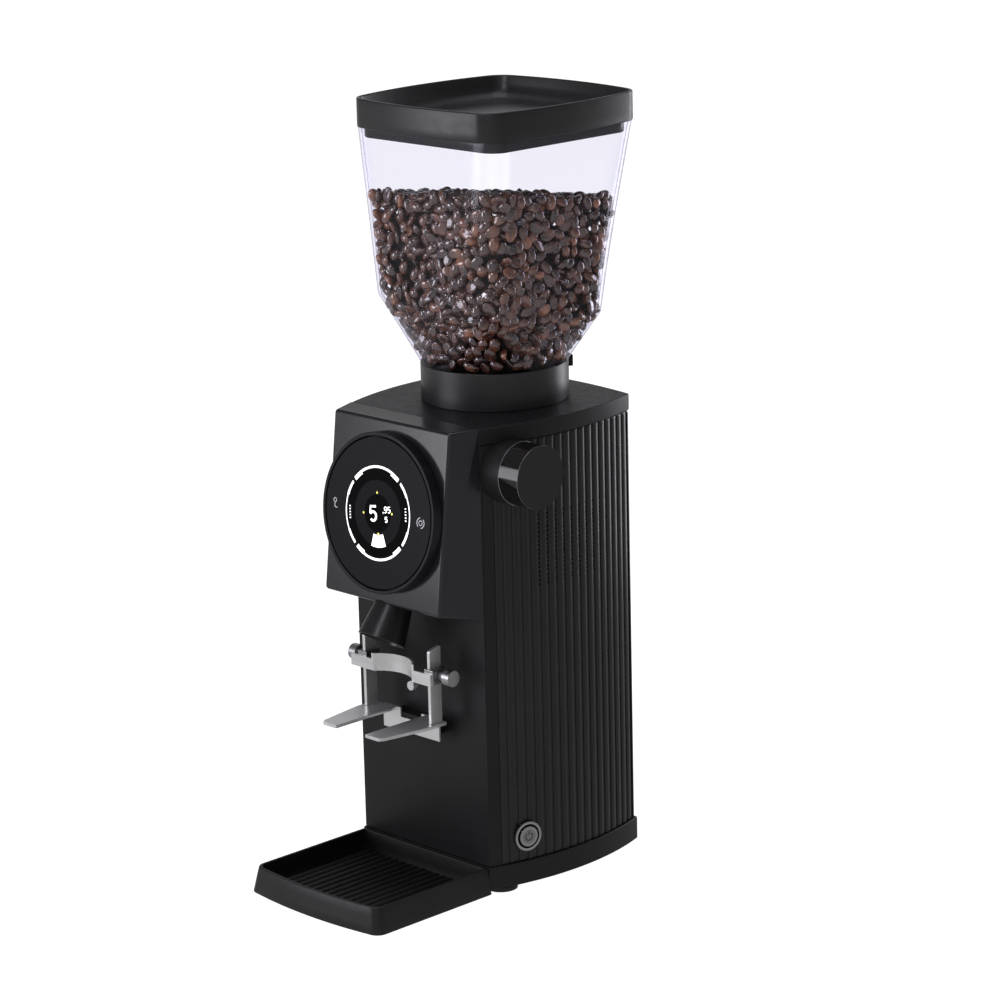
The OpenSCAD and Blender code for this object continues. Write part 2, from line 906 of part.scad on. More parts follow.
// Plan of one arm, on the +X side
module arm_plan() {
    intersection() {
        polygon([[16.5, -100], [16.5, -fork_reach], [32, -fork_reach], [34.5, -fork_reach + 4],
            [41.5, -125], [41.5, plate_y], [16.5, plate_y]]);
        translate([-10, -fork_reach]) square([70, fork_reach + plate_y]);
    }
}

module fork_plate() {
    color("#c9ccd0") placed() {
        for (side = [0, 1]) mirror([side, 0, 0])
            translate([0, 0, fork_z - fork_t]) linear_extrude(fork_t) arm_plan();
        difference() {
            translate([-32, plate_y, 120.5]) cube([64, 2, fork_z - 120.5]);
            translate([-12, plate_y - 1, 132]) cube([24, 4, 20]);
        }
    }
}

module fork_uprights() {
    color("#d3d6d9") placed() for (side = [0, 1]) mirror([side, 0, 0])
        translate([upright_x - upright_t / 2, 0, 0]) rotate([90, 0, 90]) linear_extrude(upright_t)
            polygon([[upright_front, fork_z], [upright_back, fork_z],
                [upright_back, upright_top], [upright_back - 1.5, upright_top + 0.6],
                [upright_front + 1, upright_top - 2], [upright_front, upright_top - 3.5]]);
}

module crossbar() {
    saddle_x = -1;
    saddle_y = -110 - saddle_r;
    color("#c9ccd0") placed() {
        translate([-49, bar_front, bar_low]) cube([24.2, bar_t, bar_high - bar_low]);
        translate([22, bar_front, bar_low]) cube([20, bar_t, bar_high - bar_low]);
        difference() {
            translate([saddle_x, saddle_y, bar_low]) cylinder(r = saddle_r, h = saddle_high - bar_low);
            translate([saddle_x, saddle_y, bar_low - 1]) cylinder(r = saddle_r - bar_t, h = 30);
            translate([-80, saddle_y - 60, bar_low - 1]) cube([160, bar_front - saddle_y + 60, 40]);
        }
        // the small screw that holds the saddle
        translate([20.5, bar_front - 1.4, bar_low - 3.2]) rotate([-90, 0, 0]) cylinder(r = 3.6, h = 5);
    }
}

module crossbar_clamps() {
    color("#1c1c1e") placed() for (side = [0, 1]) mirror([side, 0, 0]) difference() {
        translate([upright_x - 4, bar_front + bar_t, clamp_low])
            cube([10, -105.5 - bar_front - bar_t, clamp_high - clamp_low]);
        translate([upright_x - upright_t / 2 - 0.15, upright_front - 0.2, clamp_low - 1])
            cube([upright_t + 0.3, 12.4, 30]);
        translate([upright_x, screw_y, screw_z]) rotate([0, 90, 0]) cylinder(r = 2.6, h = 20);
    }
}

// A turned thumb screw on the +X side
module thumb_screw() {
    translate([upright_x + upright_t / 2 + 0.2, screw_y, screw_z]) rotate([0, 90, 0]) {
        cylinder(r = 2.5, h = 12);
        translate([0, 0, 5]) cylinder(r = 3.6, h = 6);
        translate([0, 0, 11]) cylinder(r = 6.4, h = 7.5);
    }
}

module right_thumb_screw() {
    color("#d6d9dc") placed() thumb_screw();
}

module left_thumb_screw() {
    color("#d6d9dc") placed() mirror([1, 0, 0]) thumb_screw();
}

// Catch tray

// Plan of the tray, drawn in by inset, with a bowed front edge
module tray_plan(inset, z, grow) {
    half = tray_w / 2 + grow - inset;
    front = tray_front - grow + inset;
    corner = tray_corner - inset / 2;
    translate([0, 0, z]) linear_extrude(eps) offset(r = corner, $fn = hull_fn) offset(delta = -corner)
        intersection() {
            translate([-half, front]) square([2 * half, tray_back - inset - front + corner]);
            translate([0, front + tray_bow_r]) circle(r = tray_bow_r, $fn = arc_fn);
        }
}

module tray_solid(inset, low, high) {
    intersection() {
        hull() {
            tray_plan(inset, high, 0);
            tray_plan(inset, low, tray_flare);
        }
        translate([-big / 2, -big, low - 1]) cube([big, big + tray_back - inset, big]);
    }
}

module catch_tray() {
    color("#161618") placed() {
        difference() {
            tray_solid(0, tray_low, base_top - 0.3);
            tray_solid(tray_wall, tray_low + tray_floor, base_top + 1);
        }
        for (x = [-50, 50], y = [-120, -200])
            translate([x, y, 0]) cylinder(r = 6, h = tray_low);
    }
}

module tray_mat() {
    mat_half = tray_w / 2 - 4.5;
    mat_low = tray_low + tray_floor;
    mat_front = tray_front + 14;
    mat_back = tray_back - 4;
    pitch = 2 * mat_half / mat_teeth;
    color("#121213") placed() {
        translate([-mat_half, mat_front, mat_low]) cube([2 * mat_half, mat_back - mat_front, 1.2]);
        for (i = [0 : mat_teeth - 1])
            translate([-mat_half + (i + 0.25) * pitch, mat_front, mat_low])
                cube([pitch / 2, mat_back - mat_front, 3.2]);
    }
}

base_plate();
rubber_feet();
foot_screws();
frame_posts();
deck_plate();
front_panel();
left_side_panel();
right_side_panel();
rear_panel();
rear_screws();
top_cover();
head_housing();
dial_base();
dial_ring();
dial_glass();
display_module();
control_board();
hopper_collar();
hopper_gate();
hopper_body();
hopper_lid();
feed_throat();
motor_housing();
motor_end_cap();
stator_core();
stator_windings();
motor_shaft();
rotor_core();
motor_fan();
upper_bearing();
lower_bearing();
grind_chamber();
lower_burr_carrier();
lower_burr();
lower_burr_screws();
upper_burr_carrier();
upper_burr();
upper_burr_screws();
adjust_ring();
adjust_worm();
worm_bracket();
adjust_knob();
knob_boss();
outlet_duct();
spout();
power_button_bezel();
power_button_cap();
power_button_nut();
power_board();
run_capacitor();
mains_inlet();
fork_spacer();
fork_plate();
fork_uprights();
crossbar();
crossbar_clamps();
left_thumb_screw();
right_thumb_screw();
catch_tray();
tray_mat();
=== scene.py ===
import bpy
import bmesh
import math
import random
import numpy as np
from mathutils import Matrix, Vector


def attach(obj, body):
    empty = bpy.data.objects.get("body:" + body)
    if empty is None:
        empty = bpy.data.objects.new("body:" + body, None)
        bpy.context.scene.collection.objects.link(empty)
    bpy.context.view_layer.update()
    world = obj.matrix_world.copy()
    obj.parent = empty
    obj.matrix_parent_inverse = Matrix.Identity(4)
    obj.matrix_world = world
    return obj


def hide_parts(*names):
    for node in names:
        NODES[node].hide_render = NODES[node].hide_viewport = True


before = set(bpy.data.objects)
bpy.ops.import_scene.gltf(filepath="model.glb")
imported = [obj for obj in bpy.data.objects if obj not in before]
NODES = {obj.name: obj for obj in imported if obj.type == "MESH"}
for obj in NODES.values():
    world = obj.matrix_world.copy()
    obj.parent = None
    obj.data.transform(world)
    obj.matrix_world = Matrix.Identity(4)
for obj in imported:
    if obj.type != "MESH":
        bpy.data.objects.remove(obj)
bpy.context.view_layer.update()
rng = random.Random(7)

# Everything is laid out in millimetres about the burr axis, as the CAD is, then moved by SHIFT.
SHIFT = Vector((-11.75, 64.0, 0.0))
PI = math.pi


def to_m(p):
    return ((p[0] + SHIFT.x) / 1000, (p[1] + SHIFT.y) / 1000, (p[2] + SHIFT.z) / 1000)


# ---------------------------------------------------------------- materials

def new_material(name):
    m = bpy.data.materials.new(name)
    m.use_nodes = True
    nt = m.node_tree
    for n in list(nt.nodes):
        nt.nodes.remove(n)
    out = nt.nodes.new("ShaderNodeOutputMaterial")
    return m, nt, out


def node(nt, kind, **values):
    n = nt.nodes.new(kind)
    for k, v in values.items():
        if k in n.inputs:
            n.inputs[k].default_value = v
        else:
            setattr(n, k, v)
    return n


def noise(nt, coord, scale, detail=3.0, stretch=None):
    """A noise texture on object coordinates, drawn out along some axes if asked."""
    n = node(nt, "ShaderNodeTexNoise", Scale=scale, Detail=detail)
    if stretch:
        mp = node(nt, "ShaderNodeMapping")
        mp.inputs["Scale"].default_value = stretch
        nt.links.new(coord, mp.inputs["Vector"])
        nt.links.new(mp.outputs["Vector"], n.inputs["Vector"])
    else:
        nt.links.new(coord, n.inputs["Vector"])
    return n


def remap(nt, source, low, high, from_low=0.3, from_high=0.7):
    """A value moved from one range to another, held at the ends."""
    r = node(nt, "ShaderNodeMapRange")
    r.inputs["From Min"].default_value = from_low
    r.inputs["From Max"].default_value = from_high
    r.inputs["To Min"].default_value = low
    r.inputs["To Max"].default_value = high
    nt.links.new(source, r.inputs["Value"])
    return r.outputs["Result"]


GRAIN_DEPTH = 0.00005


def surface(name, dark, light, rough, rough_span=0.06, grain=2200.0, bump=0.05, cloud=18.0,
            metallic=0.0, spec=0.5, stretch=None):
    """A procedural coat: colour clouds between two tones, grain in the bump, roughness that wanders."""
    m, nt, out = new_material(name)
    tc = node(nt, "ShaderNodeTexCoord")
    obj = tc.outputs["Object"]
    big = noise(nt, obj, cloud, 4.0)
    fine = noise(nt, obj, grain, 2.0, stretch)
    p = node(nt, "ShaderNodeBsdfPrincipled")
    p.inputs["Metallic"].default_value = metallic
    p.inputs["Specular IOR Level"].default_value = spec
    ramp = node(nt, "ShaderNodeValToRGB")
    ramp.color_ramp.elements[0].position = 0.35
    ramp.color_ramp.elements[0].color = (*dark, 1)
    ramp.color_ramp.elements[1].position = 0.65
    ramp.color_ramp.elements[1].color = (*light, 1)
    nt.links.new(big.outputs["Fac"], ramp.inputs["Fac"])
    nt.links.new(ramp.outputs["Color"], p.inputs["Base Color"])
    mid = noise(nt, obj, 140.0, 3.0, stretch)
    roughness = remap(nt, mid.outputs["Fac"], rough - rough_span, rough + rough_span)
    nt.links.new(roughness, p.inputs["Roughness"])
    b = node(nt, "ShaderNodeBump")
    b.inputs["Strength"].default_value = bump
    b.inputs["Distance"].default_value = GRAIN_DEPTH
    nt.links.new(fine.outputs["Fac"], b.inputs["Height"])
    nt.links.new(b.outputs["Normal"], p.inputs["Normal"])
    nt.links.new(p.outputs["BSDF"], out.inputs["Surface"])
    return m


def glowing(name, colour, strength):
    """Lit display segments: a faint fine-grained wobble in the light's strength."""
    m, nt, out = new_material(name)
    tc = node(nt, "ShaderNodeTexCoord")
    n = noise(nt, tc.outputs["Object"], 900.0, 1.0)
    p = node(nt, "ShaderNodeBsdfPrincipled")
    p.inputs["Base Color"].default_value = (*colour, 1)
    p.inputs["Roughness"].default_value = 0.3
    p.inputs["Emission Color"].default_value = (*colour, 1)
    glow = remap(nt, n.outputs["Fac"], strength * 0.94, strength * 1.04)
    nt.links.new(glow, p.inputs["Emission Strength"])
    nt.links.new(p.outputs["BSDF"], out.inputs["Surface"])
    return m


def clear_wall(name):
    """Clear moulded plastic: see-through face on, tinted and mirror-like where seen edge on."""
    m, nt, out = new_material(name)
    tc = node(nt, "ShaderNodeTexCoord")
    lw = node(nt, "ShaderNodeLayerWeight", Blend=0.5)
    ramp = node(nt, "ShaderNodeValToRGB")
    e = ramp.color_ramp.elements
    e[0].position = 0.0
    e[0].color = (0.985, 0.985, 0.992, 1)
    e[1].position = 1.0
    e[1].color = (0.62, 0.60, 0.78, 1)
    k = ramp.color_ramp.elements.new(0.62)
    k.color = (0.93, 0.925, 0.97, 1)
    k = ramp.color_ramp.elements.new(0.86)
    k.color = (0.80, 0.785, 0.89, 1)
    nt.links.new(lw.outputs["Facing"], ramp.inputs["Fac"])
    clear = node(nt, "ShaderNodeBsdfTransparent")
    nt.links.new(ramp.outputs["Color"], clear.inputs["Color"])
    gloss = node(nt, "ShaderNodeBsdfGlossy")
    gloss.inputs["Color"].default_value = (0.94, 0.94, 1.0, 1)
    n = noise(nt, tc.outputs["Object"], 60.0, 2.0)
    nt.links.new(remap(nt, n.outputs["Fac"], 0.05, 0.10), gloss.inputs["Roughness"])
    b = node(nt, "ShaderNodeBump")
    b.inputs["Strength"].default_value = 0.08
    b.inputs["Distance"].default_value = 0.0004
    waves = noise(nt, tc.outputs["Object"], 22.0, 2.0)
    nt.links.new(waves.outputs["Fac"], b.inputs["Height"])
    nt.links.new(b.outputs["Normal"], gloss.inputs["Normal"])
    fifth = node(nt, "ShaderNodeMath", operation="POWER")
    fifth.inputs[1].default_value = 5.0
    nt.links.new(lw.outputs["Facing"], fifth.inputs[0])
    mix = node(nt, "ShaderNodeMixShader")
    nt.links.new(remap(nt, fifth.outputs["Value"], 0.014, 0.80, 0.0, 1.0), mix.inputs[0])
    nt.links.new(clear.outputs["BSDF"], mix.inputs[1])
    nt.links.new(gloss.outputs["BSDF"], mix.inputs[2])
    nt.links.new(mix.outputs["Shader"], out.inputs["Surface"])
    return m


def bean_skin(name, dark, light):
    """Oily roasted skin: tone that wanders at random between dark and lighter brown, uneven gloss."""
    m, nt, out = new_material(name)
    tc = node(nt, "ShaderNodeTexCoord")
    obj = tc.outputs["Object"]
    n1 = noise(nt, obj, 110.0, 2.0)
    n2 = noise(nt, obj, 900.0, 3.0)
    ramp = node(nt, "ShaderNodeValToRGB")
    ramp.color_ramp.elements[0].position = 0.38
    ramp.color_ramp.elements[0].color = (*dark, 1)
    ramp.color_ramp.elements[1].position = 0.66
    ramp.color_ramp.elements[1].color = (*light, 1)
    nt.links.new(n1.outputs["Fac"], ramp.inputs["Fac"])
    p = node(nt, "ShaderNodeBsdfPrincipled")
    nt.links.new(ramp.outputs["Color"], p.inputs["Base Color"])
    nt.links.new(remap(nt, n2.outputs["Fac"], 0.16, 0.30), p.inputs["Roughness"])
    p.inputs["Coat Weight"].default_value = 1.0
    p.inputs["Coat IOR"].default_value = 1.9
    p.inputs["Coat Roughness"].default_value = 0.12
    b = node(nt, "ShaderNodeBump")
    b.inputs["Strength"].default_value = 0.25
    b.inputs["Distance"].default_value = 0.0002
    nt.links.new(n2.outputs["Fac"], b.inputs["Height"])
    nt.links.new(b.outputs["Normal"], p.inputs["Normal"])
    nt.links.new(p.outputs["BSDF"], out.inputs["Surface"])
    return m


MAT = {
    "casing": surface("satin_black", (0.0085, 0.0085, 0.0095), (0.0105, 0.0105, 0.012),
                      0.42, 0.04, spec=0.22),
    "head": surface("head_black", (0.010, 0.010, 0.0125), (0.012, 0.012, 0.015), 0.17, 0.01, spec=0.5),
    "rib": surface("rib_black", (0.0085, 0.0085, 0.0095), (0.0105, 0.0105, 0.0115), 0.30, 0.03, spec=0.38),
    # Near-black: painted shade in the vent holes and in the gap round the power button, and the printed
    # power mark.
    "void": surface("shade_and_print_black", (0.0015, 0.0015, 0.0015), (0.002, 0.002, 0.002), 0.9, 0.05, spec=0.02),
    "base": surface("base_black", (0.0085, 0.0085, 0.009), (0.0105, 0.0105, 0.011), 0.42, 0.04, spec=0.22),
    "plastic": surface("matt_plastic", (0.008, 0.008, 0.0085), (0.010, 0.010, 0.011),
                       0.46, 0.05, bump=0.08, spec=0.25),
    "collar": surface("collar_black", (0.0115, 0.0115, 0.0135), (0.0135, 0.0135, 0.0155),
                      0.36, 0.04, spec=0.5),
    "lid": surface("lid_black", (0.0095, 0.0095, 0.011), (0.0115, 0.0115, 0.013), 0.34, 0.04, spec=0.42),
    "tray": surface("tray_black", (0.0085, 0.0085, 0.0095), (0.011, 0.011, 0.0115),
                    0.40, 0.05, bump=0.1, spec=0.3),
    "rubber": surface("mat_rubber", (0.011, 0.011, 0.0115), (0.014, 0.014, 0.0145),
                      0.58, 0.06, bump=0.15, spec=0.25),
    "spout": surface("spout_black", (0.0035, 0.0035, 0.0045), (0.0045, 0.0045, 0.0055),
                     0.32, 0.03, spec=0.5),
    "band": surface("screen_band", (0.0085, 0.008, 0.0095), (0.0105, 0.0098, 0.0115),
                    0.35, 0.03, bump=0.0, spec=0.03),
    "knob": surface("gloss_black", (0.004, 0.004, 0.0045), (0.005, 0.005, 0.0055), 0.09, 0.03, bump=0.01),
    # Light grey rings on the black knob's edges: painted highlight.
    "rim_line": surface("rim_line", (0.22, 0.22, 0.23), (0.28, 0.28, 0.29), 0.30, 0.03, metallic=0.6),
    "ring": surface("dial_ring_black", (0.0075, 0.0075, 0.009), (0.009, 0.009, 0.011),
                    0.34, 0.04, spec=0.15),
    "glass": surface("dial_gloss", (0.0085, 0.0085, 0.0105), (0.0095, 0.0095, 0.012),
                     0.30, 0.03, bump=0.01, spec=0.06),
    "screen": surface("screen_black", (0.0012, 0.0012, 0.0015), (0.0018, 0.0018, 0.0022),
                      0.30, 0.03, bump=0.0, spec=0.02),
    "steel": surface("brushed_steel", (0.68, 0.68, 0.69), (0.80, 0.80, 0.80), 0.34, 0.05, grain=900.0,
                     bump=0.08, metallic=0.86, stretch=(1.0, 0.06, 1.0)),
    "steel_x": surface("brushed_steel_x", (0.68, 0.68, 0.69), (0.80, 0.80, 0.80), 0.30, 0.05, grain=900.0,
                       bump=0.08, metallic=0.90, stretch=(0.06, 1.0, 1.0)),
    "button": surface("button_steel", (0.34, 0.34, 0.35), (0.44, 0.44, 0.45), 0.30, 0.05, grain=1500.0,
                      bump=0.08, metallic=1.0),
    # A lighter, smoother copy of the button steel: painted highlight for the button's edges.
    "button_rim": surface("button_rim", (0.55, 0.55, 0.56), (0.68, 0.68, 0.69), 0.25, 0.05, grain=1500.0,
                          bump=0.05, metallic=1.0),
    "zinc": surface("zinc_screw", (0.30, 0.30, 0.31), (0.42, 0.42, 0.43), 0.34, 0.08, metallic=1.0),
    "cast": surface("cast_aluminium", (0.42, 0.43, 0.44), (0.55, 0.56, 0.57), 0.48, 0.08, bump=0.3,
                    grain=700.0, metallic=1.0),
    "core": surface("core_steel", (0.16, 0.16, 0.17), (0.24, 0.24, 0.25), 0.42, 0.06, grain=1800.0,
                    bump=0.3, metallic=1.0, stretch=(0.05, 0.05, 1.0)),
    "copper": surface("winding_copper", (0.30, 0.12, 0.045), (0.50, 0.22, 0.08), 0.35, 0.08, grain=1300.0,
                      bump=0.5, metallic=0.8, stretch=(0.2, 0.2, 1.0)),
    "brass": surface("wheel_brass", (0.48, 0.32, 0.12), (0.62, 0.44, 0.18), 0.34, 0.06, metallic=1.0),
    "board": surface("board_green", (0.012, 0.08, 0.03), (0.02, 0.12, 0.045), 0.35, 0.06, cloud=90.0),
    "white": surface("capacitor_white", (0.55, 0.55, 0.52), (0.66, 0.66, 0.63), 0.5, 0.06),
    "lit_white": glowing("lit_white", (1.0, 1.0, 1.0), 0.95),
    "lit_yellow": glowing("lit_yellow", (0.70, 0.66, 0.10), 0.65),
    "mark": glowing("mark_grey", (0.5, 0.5, 0.52), 0.10),
    "clear": clear_wall("clear_hopper"),
    "bean_a": bean_skin("bean_dark", (0.026, 0.010, 0.007), (0.095, 0.033, 0.019)),
    "bean_b": bean_skin("bean_brown", (0.052, 0.019, 0.012), (0.165, 0.060, 0.031)),
    "bean_c": bean_skin("bean_red", (0.100, 0.034, 0.017), (0.28, 0.100, 0.046)),
    # Near-black brown behind the beans: painted shade for the depths of the heap.
    "bean_core": surface("bean_core", (0.005, 0.0025, 0.002), (0.012, 0.006, 0.0035),
                         0.7, 0.1, cloud=120.0),
}

# ---------------------------------------------------------------- mesh helpers

def make_piece(name, verts, faces, mats, body, face_mat=None, smooth=True, sharp=35,
               replaces=(), matrix=None):
    """A mesh from millimetre points, cleaned, shaded smooth up to the sharp angle, riding one body."""
    me = bpy.data.meshes.new(name)
    if matrix is not None:
        verts = [matrix @ Vector(v) for v in verts]
    me.from_pydata([to_m(v) for v in verts], [], faces)
    mats = mats if isinstance(mats, (list, tuple)) else [mats]
    for m in mats:
        me.materials.append(MAT[m])
    if face_mat:
        me.polygons.foreach_set("material_index", face_mat)
    bm = bmesh.new()
    bm.from_mesh(me)
    bmesh.ops.remove_doubles(bm, verts=bm.verts, dist=1e-7)
    bmesh.ops.recalc_face_normals(bm, faces=bm.faces)
    bm.to_mesh(me)
    bm.free()
    if smooth:
        me.polygons.foreach_set("use_smooth", [True] * len(me.polygons))
        me.set_sharp_from_angle(angle=math.radians(sharp))
    me.update()
    o = bpy.data.objects.new(name, me)
    bpy.context.scene.collection.objects.link(o)
    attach(o, body)
    if replaces:
        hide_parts(*replaces)
    return o


def dress(names, material, bevel, segments=2):
    """A carried-over CAD node: material, softened edges and even normals."""
    for n in names:
        o = NODES[n]
        o.data.materials.clear()
        o.data.materials.append(MAT[material])
        o.data.polygons.foreach_set("use_smooth", [True] * len(o.data.polygons))
        w = o.modifiers.new("weld", "WELD")
        w.merge_threshold = 2e-6
        b = o.modifiers.new("bevel", "BEVEL")
        b.width = bevel / 1000
        b.segments = segments
        b.limit_method = "ANGLE"
        b.angle_limit = math.radians(34)
        b.use_clamp_overlap = True
        wn = o.modifiers.new("normals", "WEIGHTED_NORMAL")
        wn.keep_sharp = True


def loft(loops):
    """Quads between equal closed loops, with a cap on each end."""
    n = len(loops[0])
    verts = [p for loop in loops for p in loop]
    faces = []
    for k in range(len(loops) - 1):
        a, b = k * n, (k + 1) * n
        for i in range(n):
            j = (i + 1) % n
            faces.append((a + i, a + j, b + j, b + i))
    faces.append(tuple(range(n - 1, -1, -1)))
    faces.append(tuple(range((len(loops) - 1) * n, len(loops) * n)))
    return verts, faces


def join(*parts):
    """Several (points, faces) pairs as one."""
    verts, faces = [], []
    for v, f in parts:
        k = len(verts)
        verts += list(v)
        faces += [tuple(i + k for i in face) for face in f]
    return verts, faces


def lathe(profile, n=96, centre=(0, 0)):
    """A closed ring or solid turned about z from (radius, z) points."""
    loops = [[(centre[0] + r * math.cos(2 * PI * i / n), centre[1] + r * math.sin(2 * PI * i / n), z)
              for i in range(n)] for r, z in profile]
    return loops


def rounded_rect(half, front, back, r, z):
    """A closed loop round a rounded rectangle, the same count for any size."""
    per_corner, per_side = 12, 10
    cx, y0, y1 = half - r, front + r, back - r
    pts = []
    corners = [(cx, y0, -90), (cx, y1, 0), (-cx, y1, 90), (-cx, y0, 180)]
    for k, (x, y, a0) in enumerate(corners):
        arc = [(x + r * math.cos(math.radians(a0 + 90 * i / per_corner)),
                y + r * math.sin(math.radians(a0 + 90 * i / per_corner))) for i in range(per_corner + 1)]
        pts += arc
        nx, ny, na = corners[(k + 1) % 4]
        start = arc[-1]
        end = (nx + r * math.cos(math.radians(na)), ny + r * math.sin(math.radians(na)))
        for i in range(1, per_side):
            t = i / per_side
            pts.append((start[0] + (end[0] - start[0]) * t, start[1] + (end[1] - start[1]) * t))
    return [(x, y, z) for x, y in pts]


# ---------------------------------------------------------------- ribbed side panels

ARC_R = 239.125
ARC_X = 88 - ARC_R
ARC_Y = -6.0
BACK_R = 418.357
BACK_Y = 77 - BACK_R
PITCH = math.radians(36.4 / 18)
GROOVES = [j - 0.35 for j in range(-8, 10)]
FLOOR_HALF = 0.95
GROOVE_DEPTH = 1.25
CROWN = math.radians(28)
RIB_HALF = 3.27
RIBS_FRONT, RIBS_REAR = -81.6, 68.2
PANEL_WALL = 4.0
VENT_LOW, VENT_PITCH, VENT_ROWS, VENT_R = 245.0, 3.5, 17, 0.85
VENT_GROOVES = (-4.5, 3.7)
PANEL_LOW, PANEL_HIGH = 22.72, 362.18


def on_arc(angle, depth=0.0):
    return (ARC_X + (ARC_R - depth) * math.cos(angle), ARC_Y + (ARC_R - depth) * math.sin(angle))


def rib_profile():
    """Points along the panel from front to back: (angle, depth below the arc, kind)."""
    first = math.asin((RIBS_FRONT - ARC_Y) / ARC_R)
    last = math.asin((RIBS_REAR - ARC_Y) / ARC_R)
    pts = []
    edges = [first - FLOOR_HALF / ARC_R] + [g * PITCH for g in GROOVES] + [last + FLOOR_HALF / ARC_R]
    for k in range(len(edges) - 1):
        a, b = edges[k] + FLOOR_HALF / ARC_R, edges[k + 1] - FLOOR_HALF / ARC_R
        mid, half = (a + b) / 2, (b - a) / 2 * ARC_R
        crown_r = RIB_HALF / math.sin(CROWN)
        reach = min(CROWN, math.asin(min(1.0, half / crown_r)))
        for i in range(9):
            t = -reach + 2 * reach * i / 8
            s = crown_r * math.sin(t) * half / (crown_r * math.sin(reach))
            drop = crown_r * (1 - math.cos(t))
            pts.append((mid + s / ARC_R, drop, "crown"))
        if k < len(edges) - 2:
            g = edges[k + 1]
            pts.append((g - FLOOR_HALF / ARC_R, GROOVE_DEPTH, "floor_start"))
            pts.append((g + FLOOR_HALF / ARC_R, GROOVE_DEPTH, "floor_end"))
    return pts


def ribbed_panel(name, side, node_name):
    prof = rib_profile()
    inner = PANEL_WALL
    levels = [PANEL_LOW, PANEL_LOW + 0.5, PANEL_LOW + 1.4, PANEL_HIGH - 1.6, PANEL_HIGH - 0.7, PANEL_HIGH]
    shrink = [0.9, 0.35, 0.0, 0.0, 0.35, 0.9]
    # wrap round the rear corner: a few rounded points, then the back arc to the seam
    corner = []
    cx, cy = 71.9, 66.6
    for i in range(7):
        a = math.radians(18 + (80 - 18) * i / 6)
        corner.append((cx + 3.6 * math.cos(a), cy + 3.6 * math.sin(a)))
    back = [(x, BACK_Y + math.sqrt(BACK_R ** 2 - x * x)) for x in (72.0, 70.6, 69.2)]
    verts, faces, mats = [], [], []

    def add(p):
        verts.append((side * p[0], p[1], p[2]))
        return len(verts) - 1

    def floor_pair(g, z):
        """The two edges of a groove's floor at one height."""
        return [add((*on_arc(g + edge * FLOOR_HALF / ARC_R, GROOVE_DEPTH), z)) for edge in (-1, 1)]

    rows = []
    for z, s in zip(levels, shrink):
        row = []
        for a, d, kind in prof:
            depth = max(d, s) if kind == "crown" else d
            x, y = on_arc(a, depth)
            row.append(add((x, y, z)))
        for x, y in corner + back:
            row.append(add((x - s * 0.7, y - s * 0.7, z)))
        rows.append(row)
    inner_rows = []
    count = len(rows[0])
    for z in (levels[0], levels[-1]):
        row = []
        for a, d, kind in prof:
            x, y = on_arc(a, inner)
            row.append(add((x, y, z)))
        for x, y in corner + back:
            row.append(add((min(x, 70.9) - 1.2 if y < 66 else min(x, 69.6), y - inner, z)))
        inner_rows.append(row)
    with_holes = {j for j, g in enumerate(GROOVES) if VENT_GROOVES[0] <= g <= VENT_GROOVES[1]}
    groove_no = -1
    for i in range(count - 1):
        kind = prof[i][2] if i < len(prof) else "corner"
        if kind == "floor_start":
            groove_no += 1
        for k in range(len(levels) - 1):
            if kind == "floor_start" and groove_no in with_holes and k == 2:
                continue
            faces.append((rows[k][i], rows[k][i + 1], rows[k + 1][i + 1], rows[k + 1][i]))
            mats.append(0)
        if kind == "floor_start" and groove_no in with_holes:
            g = GROOVES[groove_no] * PITCH
            prev = (rows[2][i], rows[2][i + 1])
            z0 = VENT_LOW - VENT_PITCH / 2
            lo = floor_pair(g, z0)
            faces.append((prev[0], prev[1], lo[1], lo[0]))
            mats.append(0)
            for h in range(VENT_ROWS):
                z1 = VENT_LOW + (h + 0.5) * VENT_PITCH
                zc = VENT_LOW + h * VENT_PITCH
                hi = floor_pair(g, z1)
                ring, deep = [], []
                for q in range(12):
                    t = 2 * PI * q / 12 + PI / 12
                    off, zz = VENT_R * math.cos(t), zc + VENT_R * math.sin(t)
                    ring.append(add((*on_arc(g + off / ARC_R, GROOVE_DEPTH), zz)))
                    deep.append(add((*on_arc(g + off / ARC_R, inner - 0.2), zz)))
                # outer rectangle: right-low, right-high, left-high, left-low
                c = [lo[1], hi[1], hi[0], lo[0]]
                faces += [(c[0], c[1], ring[0], ring[11]), (c[1], ring[2], ring[1], ring[0]),
                          (c[1], c[2], ring[3], ring[2]), (c[2], ring[5], ring[4], ring[3]),
                          (c[2], c[3], ring[6], ring[5]), (c[3], ring[8], ring[7], ring[6]),
                          (c[3], c[0], ring[9], ring[8]), (c[0], ring[11], ring[10], ring[9])]
                mats += [0] * 8
                for q in range(12):
                    r = (q + 1) % 12
                    faces.append((ring[q], ring[r], deep[r], deep[q]))
                    mats.append(0)
                # Each hole is capped with near-black: painted shade for the dark inside of the casing.
                faces.append(tuple(deep))
                mats.append(1)
                lo = hi
            faces.append((lo[0], lo[1], rows[3][i + 1], rows[3][i]))
            mats.append(0)
    for i in range(count - 1):
        faces.append((inner_rows[0][i], inner_rows[0][i + 1], inner_rows[1][i + 1], inner_rows[1][i]))
        faces.append((rows[0][i], inner_rows[0][i], inner_rows[0][i + 1], rows[0][i + 1]))
        faces.append((rows[-1][i], rows[-1][i + 1], inner_rows[1][i + 1], inner_rows[1][i]))
        mats += [0, 0, 0]
    for i in (0, count - 1):
        faces.append((*[row[i] for row in rows], inner_rows[1][i], inner_rows[0][i]))
        mats.append(0)
    make_piece(name, verts, faces, ["rib", "void"], "casing", face_mat=mats, sharp=32,
               replaces=(node_name,))


ribbed_panel("ribbed_panel_left", -1, "left_side_panel")
ribbed_panel("ribbed_panel_right", 1, "right_side_panel")

# ---------------------------------------------------------------- hopper

